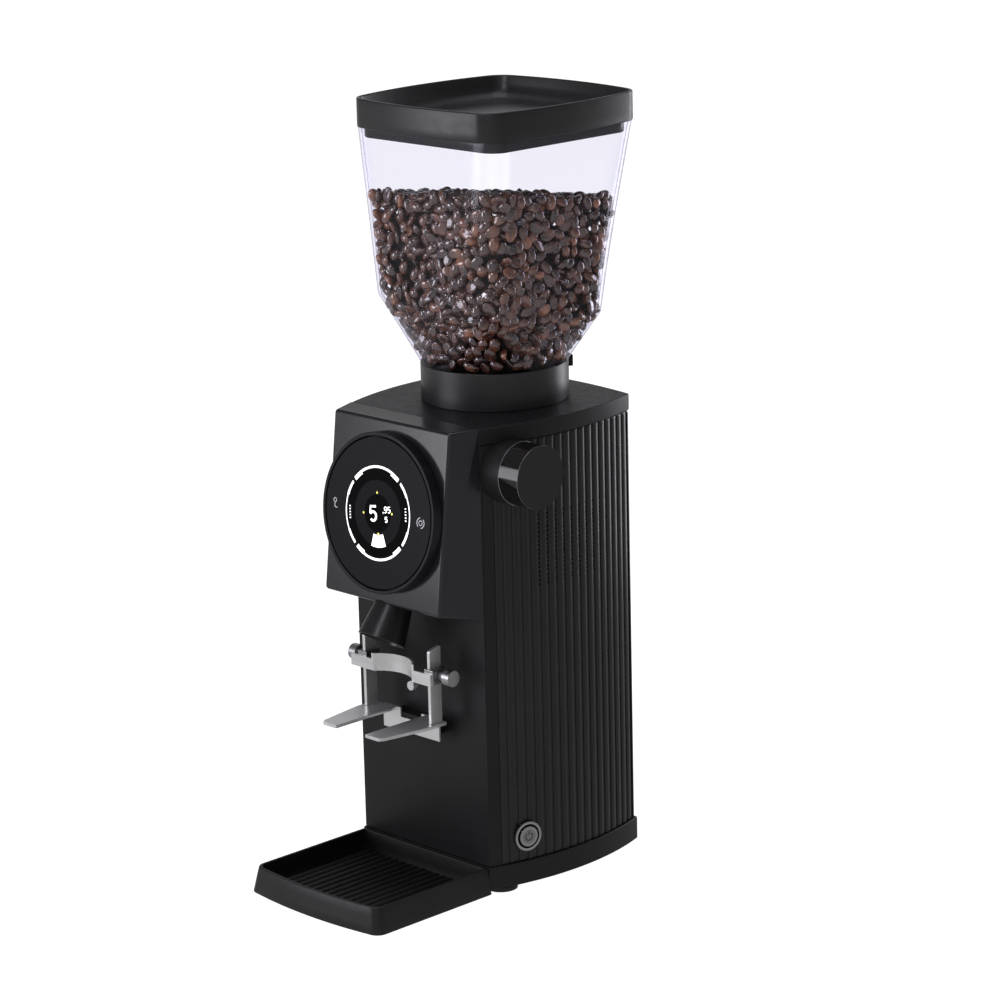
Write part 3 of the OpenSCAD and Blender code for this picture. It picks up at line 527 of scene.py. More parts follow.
def polar_rect(half, front, back, r, angle):
    """Where a ray from the burr axis leaves a rounded rectangle."""
    dx, dy = math.cos(angle), math.sin(angle)
    lo, hi = 0.0, 200.0
    for _ in range(40):
        m = (lo + hi) / 2
        x, y = m * dx, m * dy
        qx = max(abs(x) - (half - r), 0)
        qy = max(y - (back - r), front + r - y, 0)
        inside = math.hypot(qx, qy) < r and abs(x) < half and front < y < back
        lo, hi = (m, hi) if inside else (lo, m)
    return lo


RING = 160
NECK_Y = -3.5
WALL = 2.3
RIM_HALF, RIM_FRONT, RIM_REAR, RIM_Z = 81.0, -77.0, 83.0, 592.0
BREAK_HALF, BREAK_FRONT, BREAK_REAR, BREAK_FRONT_Z, BREAK_REAR_Z = 70.0, -71.5, 56.5, 461.0, 443.0
HOPPER_CORNER = 18.0
NECK_R, NECK_Z = 57.8, 405.4


def round_ray(r, angle):
    """Where a ray from the burr axis leaves the neck's circle."""
    return NECK_Y * math.sin(angle) + math.sqrt(r * r - (NECK_Y * math.cos(angle)) ** 2)


def break_height(y):
    return BREAK_FRONT_Z + (BREAK_REAR_Z - BREAK_FRONT_Z) * (y - BREAK_FRONT) / (BREAK_REAR - BREAK_FRONT)


def hopper_point(level, angle, inset):
    """Distance from the axis and height: level 0 is the rim, 1 the break, 2 the neck."""
    corner = HOPPER_CORNER - inset
    rim = polar_rect(RIM_HALF - inset, RIM_FRONT + inset, RIM_REAR - inset, corner, angle)
    brk = polar_rect(BREAK_HALF - inset, BREAK_FRONT + inset, BREAK_REAR - inset, corner, angle)
    neck = round_ray(NECK_R - inset, angle)
    bz = break_height(brk * math.sin(angle))
    if level <= 1:
        return rim + (brk - rim) * level, RIM_Z + (bz - RIM_Z) * level
    return brk + (neck - brk) * (level - 1), bz + (NECK_Z - bz) * (level - 1)


def hopper_loop(level, inset=0.0):
    out = []
    for i in range(RING):
        a = 2 * PI * (i + 0.5) / RING
        r, z = hopper_point(level, a, inset)
        out.append((r * math.cos(a), r * math.sin(a), z))
    return out


def neck_loop(r, z):
    return [(r * math.cos(2 * PI * (i + 0.5) / RING), NECK_Y + r * math.sin(2 * PI * (i + 0.5) / RING), z)
            for i in range(RING)]


def soften(loops, first, last):
    """Rounds the break by averaging each loop with its neighbours."""
    res = [list(loop) for loop in loops]
    for k in range(first, last):
        for i in range(RING):
            a, b, c = loops[k - 1][i], loops[k][i], loops[k + 1][i]
            res[k][i] = tuple(0.25 * a[q] + 0.5 * b[q] + 0.25 * c[q] for q in range(3))
    return res


def hopper_wall():
    levels = (0.0, 0.02, 0.25, 0.5, 0.75, 0.93, 0.97, 0.99, 1.0, 1.015, 1.04, 1.08, 1.3, 1.6, 2.0)
    outer = [hopper_loop(t) for t in levels]
    inner = [hopper_loop(t, WALL) for t in levels]
    for _ in range(2):
        outer, inner = soften(outer, 6, 11), soften(inner, 6, 11)
    rim_out = [(x * 0.9965, y * 0.9965, RIM_Z) for x, y, z in outer[0]]
    outer[0] = [(x, y, RIM_Z - 0.6) for x, y, z in outer[0]]
    rim_in = [(x, y, RIM_Z) for x, y, z in inner[0]]
    neck = [neck_loop(55.5, 405.2), neck_loop(55.5, 401.8), neck_loop(53.0, 401.8), neck_loop(53.0, 407.5)]
    inner_back = [[(x, y, max(z, 408.0)) for x, y, z in loop] for loop in inner[::-1]]
    loops = [rim_in, rim_out] + outer + neck + inner_back[:-1]
    n = RING
    verts = [p for loop in loops for p in loop]
    faces = []
    for k in range(len(loops)):
        a, b = k * n, (k + 1) % len(loops) * n
        for i in range(n):
            j = (i + 1) % n
            faces.append((a + i, a + j, b + j, b + i))
    return verts, faces


v, f = hopper_wall()
make_piece("hopper_shell", v, f, "clear", "hopper", sharp=60,
           replaces=("hopper_body",))

# ---------------------------------------------------------------- lid

LID_HALF, LID_MID, LID_DEEP, LID_BOW, LID_CORNER = 86.0, 3.5, 89.5, 330.0, 20.0


def lid_loop(inset, z):
    """The lid's outline: four wide arcs and four small corner arcs, drawn in by inset."""
    side_c, end_c = LID_HALF - LID_BOW, LID_DEEP - LID_BOW
    span = math.hypot(side_c, end_c)
    reach = math.sqrt((LID_BOW - LID_CORNER) ** 2 - (span / 2) ** 2) / span
    cx, cy = side_c / 2 - end_c * reach, end_c / 2 - side_c * reach
    quarter = []
    a1 = math.atan2(cy, cx - side_c)
    for i in range(12):
        a = a1 * i / 12
        quarter.append((side_c + (LID_BOW - inset) * math.cos(a), (LID_BOW - inset) * math.sin(a)))
    a2 = math.atan2(cy - end_c, cx)
    r = max(LID_CORNER - inset, 0.4)
    for i in range(16):
        a = a1 + (a2 - a1) * i / 16
        quarter.append((cx + r * math.cos(a), cy + r * math.sin(a)))
    for i in range(13):
        a = a2 + (PI / 2 - a2) * i / 12
        quarter.append(((LID_BOW - inset) * math.cos(a), end_c + (LID_BOW - inset) * math.sin(a)))
    left = [(-x, y) for x, y in quarter[::-1]][1:]
    half = quarter + left
    full = half + [(x, -y) for x, y in half[::-1]][1:-1]
    return [(x, y + LID_MID, z) for x, y in full]


def shrink_loop(loop, factor, z):
    return [(x * factor, (y - LID_MID) * factor + LID_MID, z) for x, y, _ in loop]


def lid_mesh():
    profile = ((1.0, 592.03), (0.3, 592.3), (0.0, 593.0), (0.0, 600.0), (0.0, 607.0), (0.0, 613.8),
               (0.15, 614.5), (0.6, 614.9), (1.1, 615.0), (2.0, 615.0), (2.5, 614.7), (2.8, 614.0),
               (4.0, 608.0), (6.0, 602.5), (8.5, 599.2), (11.0, 597.7), (14.0, 597.1))
    outer = [lid_loop(inset, z) for inset, z in profile]
    rim = lid_loop(14.0, 597.0)
    outer += [shrink_loop(rim, factor, 597.0) for factor in (0.97, 0.7, 0.35)]
    plate = loft(outer)

    def skirt(inset, z):
        return rounded_rect(76 - inset, -72.4 + inset, 76.8 - inset, 14 - inset, z)

    lip = ((2.4, 592.5), (2.4, 584.4), (1.8, 583.6), (0.6, 583.6), (0.0, 584.2), (0.0, 592.5))
    return join(plate, loft([skirt(inset, z) for inset, z in lip]))


v, f = lid_mesh()
make_piece("lid_shell", v, f, "lid", "hopper_lid", sharp=50, replaces=("hopper_lid",))

# ---------------------------------------------------------------- beans

def bean_shape():
    """One coffee bean, about 11.5 x 8.2 x 5.6 mm, flat side down -Z with a curved crease."""
    nu, nv = 14, 16
    verts, faces = [], []
    for i in range(nu + 1):
        th = PI * i / nu
        for j in range(nv):
            ph = 2 * PI * (j + 0.5) / nv - PI / 2
            x = math.cos(th)
            y = math.sin(th) * math.cos(ph)
            z = math.sin(th) * math.sin(ph)
            if z < 0:
                z *= 0.40
                side = y - 0.10 * math.sin(2.4 * x)
                if abs(side) < 0.24:
                    z += 0.34 * (1 - abs(side) / 0.24) * (1 - x * x) ** 0.5
            verts.append((x * 5.7, y * 4.1, z * 3.9 - 0.7))
    for i in range(nu):
        for j in range(nv):
            k = (j + 1) % nv
            faces.append((i * nv + j, i * nv + k, (i + 1) * nv + k, (i + 1) * nv + j))
    return np.array(verts), faces


def hopper_radius(angle, z, inset):
    """Inner radius of the clear wall at that angle and height."""
    inset += WALL
    rim, _ = hopper_point(0.0, angle, inset)
    brk, bz = hopper_point(1.0, angle, inset)
    neck, _ = hopper_point(2.0, angle, inset)
    if z > bz:
        return rim + (brk - rim) * (RIM_Z - z) / (RIM_Z - bz)
    return brk + (neck - brk) * min(max((bz - z) / (bz - 406), 0), 1)


BEAN_GAP = 7.5
BEAN_VERTS = 15 * 16


def bean_places():
    """Dart throwing in a shell behind the clear wall and under the heap's surface."""
    cell = 7.6
    grid = {}
    places = []

    def free(p, dist):
        k = tuple(int(math.floor(c / cell)) for c in p)
        for dx in (-1, 0, 1):
            for dy in (-1, 0, 1):
                for dz in (-1, 0, 1):
                    for q in grid.get((k[0] + dx, k[1] + dy, k[2] + dz), ()):
                        if (q[0] - p[0]) ** 2 + (q[1] - p[1]) ** 2 + (q[2] - p[2]) ** 2 < dist * dist:
                            return False
        return True

    radii = {}

    def cached_radius(a, z, inset):
        key = (round(a * 40), round(z / 2), inset)
        if key not in radii:
            radii[key] = hopper_radius(key[0] / 40, key[1] * 2, inset)
        return radii[key]

    def put(p, kind):
        grid.setdefault(tuple(int(math.floor(c / cell)) for c in p), []).append(p)
        places.append((p, kind))

    def heap(x, y):
        return 534 + 0.115 * x - 0.111 * y - 0.03 * (x + y) + 1.5 * math.sin(x * 0.11 + 1.0)

    for depth, tries in ((3.9, 18000), (9.0, 12000)):
        for _ in range(tries):
            a = rng.uniform(0, 2 * PI)
            z = rng.uniform(410 if depth < 5 else 412, 552)
            r = cached_radius(a, z, 0) - depth
            p = (r * math.cos(a), r * math.sin(a), z)
            if z < heap(p[0], p[1]) and free(p, BEAN_GAP):
                put(p, "wall")
    for drop, tries in ((0.0, 9000), (5.2, 7000)):
        for _ in range(tries):
            a = rng.uniform(0, 2 * PI)
            reach = cached_radius(a, 534, 0) - 4.0
            r = reach * math.sqrt(rng.random())
            x, y = r * math.cos(a), r * math.sin(a)
            p = (x, y, heap(x, y) - drop + rng.uniform(-0.8, 0.8))
            if free(p, BEAN_GAP):
                put(p, "top")
    return places


def beans():
    base, base_faces = bean_shape()
    groups = {k: ([], []) for k in ("bean_a", "bean_b", "bean_c")}
    for (x, y, z), kind in bean_places():
        out = Vector((x, y, 0)).normalized() if kind == "wall" else Vector((0, 0, 1))
        if kind == "wall" and z < 450:
            out = (out + Vector((0, 0, -0.45))).normalized()
        out = (out + Vector((rng.gauss(0, 0.42), rng.gauss(0, 0.42), rng.gauss(0, 0.42)))).normalized()
        flip = rng.random() < 0.5
        up = Vector((rng.gauss(0, 1), rng.gauss(0, 1), rng.gauss(0, 1)))
        xa = (up - out * up.dot(out)).normalized()
        za = out if flip else -out
        ya = za.cross(xa)
        s = rng.uniform(1.02, 1.24)
        rot = np.array((xa, ya, za)).T * s
        pts = base * np.array([rng.uniform(0.92, 1.06), rng.uniform(0.92, 1.05), rng.uniform(0.9, 1.1)])
        pts = pts @ rot.T + np.array([x, y, z])
        roll = rng.random()
        key = "bean_a" if roll < 0.52 else ("bean_b" if roll < 0.86 else "bean_c")
        vs, fs = groups[key]
        k = len(vs)
        vs += [tuple(p) for p in pts]
        fs += [tuple(i + k for i in face) for face in base_faces]
    return groups


bean_total = 0
for key, (v, f) in beans().items():
    bean_total += len(v) // BEAN_VERTS
    half = len(v) // BEAN_VERTS // 2 * BEAN_VERTS
    halves = [(v[:half], [q for q in f if max(q) < half]),
              (v[half:], [tuple(i - half for i in q) for q in f if min(q) >= half])]
    for k, (vv, ff) in enumerate(halves):
        me = bpy.data.meshes.new(f"{key}_{k}")
        me.from_pydata([to_m(p) for p in vv], [], ff)
        bm = bmesh.new()
        bm.from_mesh(me)
        bmesh.ops.remove_doubles(bm, verts=bm.verts, dist=2e-6)
        bmesh.ops.dissolve_degenerate(bm, edges=bm.edges, dist=1e-6)
        bm.to_mesh(me)
        bm.free()
        me.polygons.foreach_set("use_smooth", [True] * len(me.polygons))
        me.materials.append(MAT[key])
        o = bpy.data.objects.new(f"{key}_{k}", me)
        bpy.context.scene.collection.objects.link(o)
        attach(o, "hopper")
print("beans", bean_total)

def core_loop(z, n=72, depth=9.0):
    """A lumpy loop behind the beans, which hides the empty middle of the heap; its near-black colour is
    painted shade for the beans deeper in.
    """
    out = []
    for i in range(n):
        a = 2 * PI * i / n
        r = hopper_radius(a, z, 0) - depth + 1.2 * math.sin(i * 2.1 + z)
        out.append((r * math.cos(a), r * math.sin(a), z))
    return out


v, f = loft([core_loop(z) for z in (407.5, 415, 425, 440, 452, 470, 490, 505)])
make_piece("bean_heap_core", v, f, "bean_core", "hopper", sharp=60)

# ---------------------------------------------------------------- catch tray

TRAY_HALF, TRAY_FRONT, TRAY_BACK, TRAY_RIM = 71.0, -217.0, -93.8, 22.2
TRAY_CORNER, TRAY_BOW = 9.0, 420.0


def tray_loop(inset, z, grow):
    """The tray's outline: straight sides and back, a bowed front, rounded front corners."""
    half = TRAY_HALF + grow - inset
    front = TRAY_FRONT - grow + inset
    back = TRAY_BACK - inset
    r = TRAY_CORNER - inset * 0.5
    pts = []

    def front_y(x):
        return front + TRAY_BOW - math.sqrt(TRAY_BOW ** 2 - x * x)

    side_front = front_y(half - r) + r
    for i in range(9):
        pts.append((half, back + (side_front - back) * i / 8))
    for i in range(1, 13):
        a = math.radians(0 - 90 * i / 12)
        pts.append((half - r + r * math.cos(a), side_front + r * math.sin(a)))
    for i in range(1, 24):
        x = (half - r) * (1 - 2 * i / 24)
        pts.append((x, front_y(x)))
    for i in range(13):
        a = math.radians(-90 - 90 * i / 12)
        pts.append((-half + r + r * math.cos(a), side_front + r * math.sin(a)))
    for i in range(1, 9):
        pts.append((-half, side_front + (back - side_front) * i / 8))
    for i in range(1, 12):
        pts.append((-half + 2 * half * i / 12, back))
    return [(x, y, z) for x, y in pts]


def tray_mesh():
    rim = TRAY_RIM
    profile = ((6.0, 1.0, 4), (1.0, 1.0, 4), (0.3, 1.2, 4), (0, 1.8, 3.9), (0, 8, 2.7), (0, 15, 1.4),
               (0, rim - 0.8, 0.1), (0.2, rim - 0.25, 0), (0.7, rim, 0), (1.9, rim, 0), (2.4, rim - 0.3, 0),
               (2.6, rim - 1, 0.1), (2.6, 12, 1.8), (2.7, 5.0, 3.0), (3.4, 3.4, 3.2), (4.6, 3.0, 3.2))
    return loft([tray_loop(inset, z, grow) for inset, z, grow in profile])


feet = []
for fx in (-50, 50):
    for fy in (-120, -200):
        feet.append(loft(lathe([(5.2, 0.0), (5.9, 0.35), (6.0, 1.2)], 32, (fx, fy))))
v, f = join(tray_mesh(), *feet)
make_piece("tray_shell", v, f, "tray", "catch_tray", sharp=40, replaces=("catch_tray",))


def mat_mesh():
    half, low, front, back, n = 66.5, 3.02, -203, -97.8, 17
    pitch = 2 * half / n
    parts = []
    section = [(-half, low)]
    for i in range(n):
        x0 = -half + (i + 0.25) * pitch
        x1 = x0 + pitch / 2
        if i > 0 or x0 > -half + 0.01:
            section.append((x0, low + 1.2))
        for q in range(7):
            a = PI - PI * q / 6
            x = (x0 + x1) / 2 + (x1 - x0) / 2 * math.cos(a) * 0.92
            section.append((x, low + 1.7 + 1.5 * math.sin(a)))
        section.append((x1, low + 1.2))
    section.insert(1, (-half, low + 1.2))
    section.append((half, low + 1.2))
    section.append((half, low))
    ys = [front, front + 0.6, back - 0.6, back]
    loops = []
    for k, y in enumerate(ys):
        s = 0.75 if k in (0, 3) else 1.0
        loops.append([(x, y, low + (z - low) * s) for x, z in section])
    return loft(loops)


v, f = mat_mesh()
make_piece("mat_ridges", v, f, "rubber", "tray_mat", sharp=50, replaces=("tray_mat",))

# ---------------------------------------------------------------- dial graphics and button mark

FACE = Matrix.Translation((0, -124.44, 305)) @ Matrix.Rotation(math.radians(90 - 6.7794), 4, "X")
GLASS_Z = 8.6


def flat_piece(name, shapes, mat, body, low, high, matrix=FACE):
    """Thin raised marks: each shape is a closed outline in the face's own x, y."""
    parts = []
    for pts in shapes:
        parts.append(loft([[(x, y, low) for x, y in pts], [(x, y, high) for x, y in pts]]))
    v, f = join(*parts)
    return make_piece(name, v, f, mat, body, smooth=False, matrix=matrix)


def arc_points(r, a0, a1, n):
    """Points along an arc between two angles in degrees."""
    angles = [math.radians(a0 + (a1 - a0) * i / n) for i in range(n + 1)]
    return [(r * math.cos(a), r * math.sin(a)) for a in angles]


def arc_band(r0, r1, a0, a1, step=2.0):
    """Outline of the band between two radii."""
    n = max(2, int(abs(a1 - a0) / step))
    return arc_points(r1, a0, a1, n) + arc_points(r0, a1, a0, n)


def disc(r, cx=0.0, cy=0.0, n=64):
    return [(cx + r * math.cos(2 * PI * i / n), cy + r * math.sin(2 * PI * i / n)) for i in range(n)]


def ring_shapes(r0, r1, cx=0.0, cy=0.0, n=24):
    """A full ring as two half bands, so every outline is simple."""
    out = []
    for a in (0, 180):
        out.append([(cx + x, cy + y) for x, y in arc_band(r0, r1, a, a + 180, 180 / n)])
    return out


def bar(cx, cy, w, h):
    """A rectangle round its centre."""
    return [(cx + x * w / 2, cy + y * h / 2) for x, y in ((-1, -1), (1, -1), (1, 1), (-1, 1))]


def digit_path(digit, cx, cy, h, t):
    """Centre line of a 5 or a 9 of height h, for a stroke of width t."""
    w = h * 0.58
    if digit == "5":
        path = [(0.42, 0.5), (-0.36, 0.5), (-0.42, 0.06)]
        path += [(-0.02 + 0.44 * math.cos(math.radians(a)), -0.16 + 0.30 * math.sin(math.radians(a)))
                 for a in range(140, -141, -14)]
    else:
        path = [(0.42 * math.cos(math.radians(a)), 0.22 + 0.28 * math.sin(math.radians(a)))
                for a in range(-20, 341, 15)]
        path += [(0.42, 0.05), (0.34, -0.22), (0.16, -0.42), (-0.12, -0.5), (-0.34, -0.44)]
    return [(cx + x * w, cy + y * (h - t)) for x, y in path]


def stroke(points, t):
    """One clean closed outline around an open path, with mitred turns."""
    left, right = [], []
    n = len(points)
    for k in range(n):
        a = points[max(k - 1, 0)]
        b = points[min(k + 1, n - 1)]
        dx, dy = b[0] - a[0], b[1] - a[1]
        ln = math.hypot(dx, dy)
        nx, ny = -dy / ln * t / 2, dx / ln * t / 2
        left.append((points[k][0] + nx, points[k][1] + ny))
        right.append((points[k][0] - nx, points[k][1] - ny))
    return left + right[::-1]


def ribbon(points, t, low=GLASS_Z + 0.02, high=GLASS_Z + 0.08):
    """A stroke as a strip of quads, safe where the path curls."""
    verts, faces = [], []
    outline = stroke(points, t)
    n = len(points)
    left, right = outline[:n], outline[n:][::-1]
    for z in (low, high):
        verts += [(x, y, z) for x, y in left] + [(x, y, z) for x, y in right]
    for k in range(n - 1):
        faces.append((2 * n + k, 2 * n + k + 1, 3 * n + k + 1, 3 * n + k))
        faces.append((k, n + k, n + k + 1, k + 1))
        faces.append((k, k + 1, 2 * n + k + 1, 2 * n + k))
        faces.append((n + k, 3 * n + k, 3 * n + k + 1, n + k + 1))
    faces.append((0, 2 * n, 3 * n, n))
    faces.append((n - 1, 2 * n - 1, 4 * n - 1, 3 * n - 1))
    return verts, faces


SCREEN = FACE @ Matrix.Rotation(math.radians(7), 4, "Z")


def screen_piece(name, shapes, mat, high, low=GLASS_Z - 0.1):
    """Marks drawn on the round screen, which sits turned a little in the dial."""
    return flat_piece(name, shapes, mat, "casing", low=low, high=GLASS_Z + high, matrix=SCREEN)


screen_piece("screen_disc", [disc(34.4, n=120)], "screen", 0.02, low=GLASS_Z - 0.2)
screen_piece("screen_band", ring_shapes(14.8, 25.8, n=48), "band", 0.03)
arcs = [arc_band(35.2, 37.0, a, a + 86) for a in (47, 227)]
thick_ends = [arc_band(33.7, 37.0, a, a + 15) for a in (47, 118, 227, 298)]
side_lines = [arc_band(35.3, 36.3, a, a + 84) for a in (138, -42)]
side_ends = [arc_band(34.6, 36.6, a, a + 20) for a in (138, 202, -42, 22)]
screen_piece("screen_arcs", arcs + side_lines, "lit_white", 0.05)
screen_piece("screen_arc_ends", thick_ends + side_ends, "lit_white", 0.07)
screen_piece("screen_dots", [disc(0.95, 16 * x, 16 * y, 24) for x, y in ((0, 1), (0, -1), (1, 0), (-1, 0))],
             "lit_yellow", 0.06)
screen_piece("screen_tab", [arc_band(16.8, 26.6, 252, 288)], "lit_white", 0.05)
DIGITS = (("5", -5.1, -0.5, 13.4, 1.9), ("9", 9.0, 2.9, 5.4, 0.85), ("5", 12.9, 2.9, 5.4, 0.85),
          ("5", 9.4, -4.7, 4.8, 0.85))
v, f = join(*[ribbon(digit_path(*digit), digit[-1]) for digit in DIGITS])
make_piece("screen_digits", v, f, "lit_white", "casing", smooth=False, matrix=SCREEN)
screen_piece("screen_points", [disc(0.6, 6.3, 0.7, 20)], "lit_white", 0.06)
side_bars = [bar(side * 31.4, 4.6 - 2.3 * k, 1.5, 1.0) for side in (-1, 1) for k in range(5)]
screen_piece("screen_side_marks", side_bars, "lit_white", 0.06)
icon_left = ring_shapes(1.3, 1.9, -49, 2.6) + [bar(-49, -0.9, 0.7, 3.6), bar(-47.3, -2.9, 2.8, 0.7)]
flat_piece("glass_icon_left", icon_left, "mark", "casing", low=GLASS_Z - 0.1, high=GLASS_Z + 0.05)
icon_right = ring_shapes(1.5, 2.1, 48, 0.4)
icon_right += [[(48 + x, 0.4 + y) for x, y in arc_band(3.6, 4.3, a, a + 130)] for a in (100, 280)]
flat_piece("glass_icon_right", icon_right, "mark", "casing", low=GLASS_Z - 0.1, high=GLASS_Z + 0.05)

BUTTON = (Matrix.Translation((-151.125, -6, 43)) @ Matrix.Rotation(math.radians(-13.05), 4, "Z")
          @ Matrix.Translation((239.125, 0, 0)) @ Matrix.Rotation(math.radians(90), 4, "Y"))
CAP_Z = 2.9
flat_piece("power_mark", [[(-x, y) for x, y in arc_band(2.7, 3.4, 32, 328)], bar(-3.0, 0, 3.4, 0.7)],
           "void", "power_button", low=CAP_Z - 0.1, high=CAP_Z + 0.04, matrix=BUTTON)

# Lighter steel rings round the button: painted highlight on the edges of the flange and the cap. The
# near-black ring between flange and cap is painted shade in the gap.
flat_piece("button_flange_ring", ring_shapes(10.0, 11.4, n=48), "button_rim", "casing", low=2.1,
           high=2.28, matrix=BUTTON)
flat_piece("button_gap_shade", ring_shapes(8.32, 9.9, n=48), "void", "casing", low=2.1, high=2.24, matrix=BUTTON)
flat_piece("button_cap_ring", ring_shapes(6.2, 7.3, n=48), "button_rim", "power_button", low=CAP_Z - 0.1,
           high=CAP_Z + 0.05, matrix=BUTTON)

# Thin light grey rings at both ends of the knob: painted highlight where the gloss black knob's edges catch
# the light.
KNOB = Matrix.Translation((0, -67.8, 340)) @ Matrix.Rotation(math.radians(90), 4, "Y")


def torus(radius, z, thick, n=96, m=10):
    verts = [((radius + thick * math.cos(2 * PI * j / m)) * math.cos(2 * PI * i / n),
              (radius + thick * math.cos(2 * PI * j / m)) * math.sin(2 * PI * i / n),
              z + thick * math.sin(2 * PI * j / m)) for i in range(n) for j in range(m)]
    faces = [(i * m + j, (i + 1) % n * m + j, (i + 1) % n * m + (j + 1) % m, i * m + (j + 1) % m)
             for i in range(n) for j in range(m)]
    return verts, faces


v, f = join(torus(24.5, 112.58, 0.36), torus(24.72, 92.5, 0.26))
make_piece("knob_rim_highlights", v, f, "rim_line", "adjust_knob", matrix=KNOB)

# ---------------------------------------------------------------- carried-over CAD nodes

dress(["base_plate"], "base", 0.8)
dress(["rubber_feet"], "rubber", 0.5)
dress(["foot_screws", "rear_screws", "power_button_nut", "lower_burr_screws", "upper_burr_screws"],
      "zinc", 0.2)
dress(["frame_posts", "deck_plate", "worm_bracket"], "zinc", 0.3)
dress(["front_panel", "rear_panel"], "casing", 0.5)
dress(["top_cover"], "casing", 1.1, 3)
dress(["head_housing"], "head", 1.0, 3)
dress(["dial_base"], "plastic", 0.4)
dress(["dial_ring"], "ring", 0.7, 3)
dress(["dial_glass"], "glass", 0.3)
dress(["display_module"], "screen", 0.3)
dress(["control_board", "power_board"], "board", 0.2)
dress(["hopper_collar"], "collar", 0.8, 3)
dress(["hopper_gate"], "plastic", 0.5)
dress(["feed_throat", "motor_housing", "motor_end_cap", "grind_chamber", "lower_burr_carrier",
       "upper_burr_carrier"], "cast", 0.4)
dress(["stator_core", "rotor_core"], "core", 0.2)
dress(["stator_windings"], "copper", 1.0)
dress(["motor_shaft", "upper_bearing", "lower_bearing", "adjust_worm", "lower_burr", "upper_burr"],
      "button", 0.15)
dress(["motor_fan"], "plastic", 0.3)
dress(["adjust_ring"], "brass", 0.3)
dress(["adjust_knob"], "knob", 0.7, 3)
dress(["knob_boss", "outlet_duct", "mains_inlet", "fork_spacer"], "plastic", 0.6)
dress(["spout"], "spout", 0.6)
dress(["crossbar_clamps"], "zinc", 0.6)
dress(["power_button_bezel", "power_button_cap", "left_thumb_screw", "right_thumb_screw"], "button", 0.3, 3)
dress(["run_capacitor"], "white", 0.6)
dress(["fork_plate", "fork_uprights"], "steel", 0.5, 3)
dress(["crossbar"], "steel_x", 0.5, 3)

# ---------------------------------------------------------------- stage, lights, camera

def stage_material(name, diffuse, glow):
    """White paper that glows a little, so the background stays white."""
    m, nt, out = new_material(name)
    tc = node(nt, "ShaderNodeTexCoord")
    n = noise(nt, tc.outputs["Object"], 3.0, 2.0)
    d = node(nt, "ShaderNodeBsdfDiffuse")
    d.inputs["Color"].default_value = (diffuse, diffuse, diffuse, 1)
    e = node(nt, "ShaderNodeEmission")
    e.inputs["Color"].default_value = (1, 1, 1, 1)
    nt.links.new(remap(nt, n.outputs["Fac"], glow * 0.998, glow * 1.002), e.inputs["Strength"])
    add = node(nt, "ShaderNodeAddShader")
    nt.links.new(d.outputs["BSDF"], add.inputs[0])
    nt.links.new(e.outputs["Emission"], add.inputs[1])
    nt.links.new(add.outputs["Shader"], out.inputs["Surface"])
    return m


def stage_mesh(name, verts, faces, mat):
    me = bpy.data.meshes.new(name)
    me.from_pydata(verts, [], faces)
    me.materials.append(mat)
    me.polygons.foreach_set("use_smooth", [True] * len(me.polygons))
    o = bpy.data.objects.new(name, me)
    bpy.context.scene.collection.objects.link(o)
    o.visible_glossy = False
    o.visible_shadow = False
    return o


FAR = 15.0
WALL_FAR = 12.0


def sphere_ring(radius, elevation, n):
    """One level ring of points on a sphere round the origin."""
    r, z = radius * math.cos(elevation), radius * math.sin(elevation)
    return [(r * math.cos(2 * PI * i / n), r * math.sin(2 * PI * i / n), z) for i in range(n)]


disc_verts = [(0, 0, 0)] + sphere_ring(FAR, 0, 96)
stage_mesh("floor", disc_verts, [(0, 1 + i, 1 + (i + 1) % 96) for i in range(96)],
           stage_material("pale_floor", 0.25, 1.0))
dome_verts, dome_faces = [], []
for k in range(17):
    dome_verts += sphere_ring(FAR, math.radians(90 * k / 17), 96)
dome_verts.append((0, 0, FAR))
for k in range(16):
    for i in range(96):
        j = (i + 1) % 96
        dome_faces.append((k * 96 + i, (k + 1) * 96 + i, (k + 1) * 96 + j, k * 96 + j))
for i in range(96):
    dome_faces.append((16 * 96 + i, len(dome_verts) - 1, 16 * 96 + (i + 1) % 96))
dome = stage_mesh("backdrop", dome_verts, dome_faces, stage_material("pale_backdrop", 0.0, 1.25))
dome.visible_diffuse = False

def studio_walls():
    """What gloss and metal reflect: a room bright near the floor, dimmer overhead and at the rear right."""
    m, nt, out = new_material("studio_walls")
    tc = node(nt, "ShaderNodeTexCoord")
    sep = node(nt, "ShaderNodeSeparateXYZ")
    nt.links.new(tc.outputs["Object"], sep.inputs["Vector"])
    ramp = node(nt, "ShaderNodeValToRGB")
    stops = [(0.0, 0.50), (0.49, 0.46), (0.53, 0.26), (0.75, 0.18), (1.0, 0.14)]
    e = ramp.color_ramp.elements
    e[0].position, e[0].color = stops[0][0], (stops[0][1],) * 3 + (1,)
    e[1].position, e[1].color = stops[-1][0], (stops[-1][1],) * 3 + (1,)
    for p, v in stops[1:-1]:
        k = e.new(p)
        k.color = (v, v, v, 1)
    nt.links.new(remap(nt, sep.outputs["Z"], 0.0, 1.0, -WALL_FAR, WALL_FAR), ramp.inputs["Fac"])
    em = node(nt, "ShaderNodeEmission")
    nt.links.new(ramp.outputs["Color"], em.inputs["Color"])
    dim = node(nt, "ShaderNodeVectorMath", operation="DOT_PRODUCT")
    dim.inputs[1].default_value = (0.059, 0.059, 0.0)
    nt.links.new(tc.outputs["Object"], dim.inputs[0])
    nt.links.new(remap(nt, dim.outputs["Value"], 1.0, 0.66, 0.2, 0.85), em.inputs["Strength"])
    nt.links.new(em.outputs["Emission"], out.inputs["Surface"])
    return m


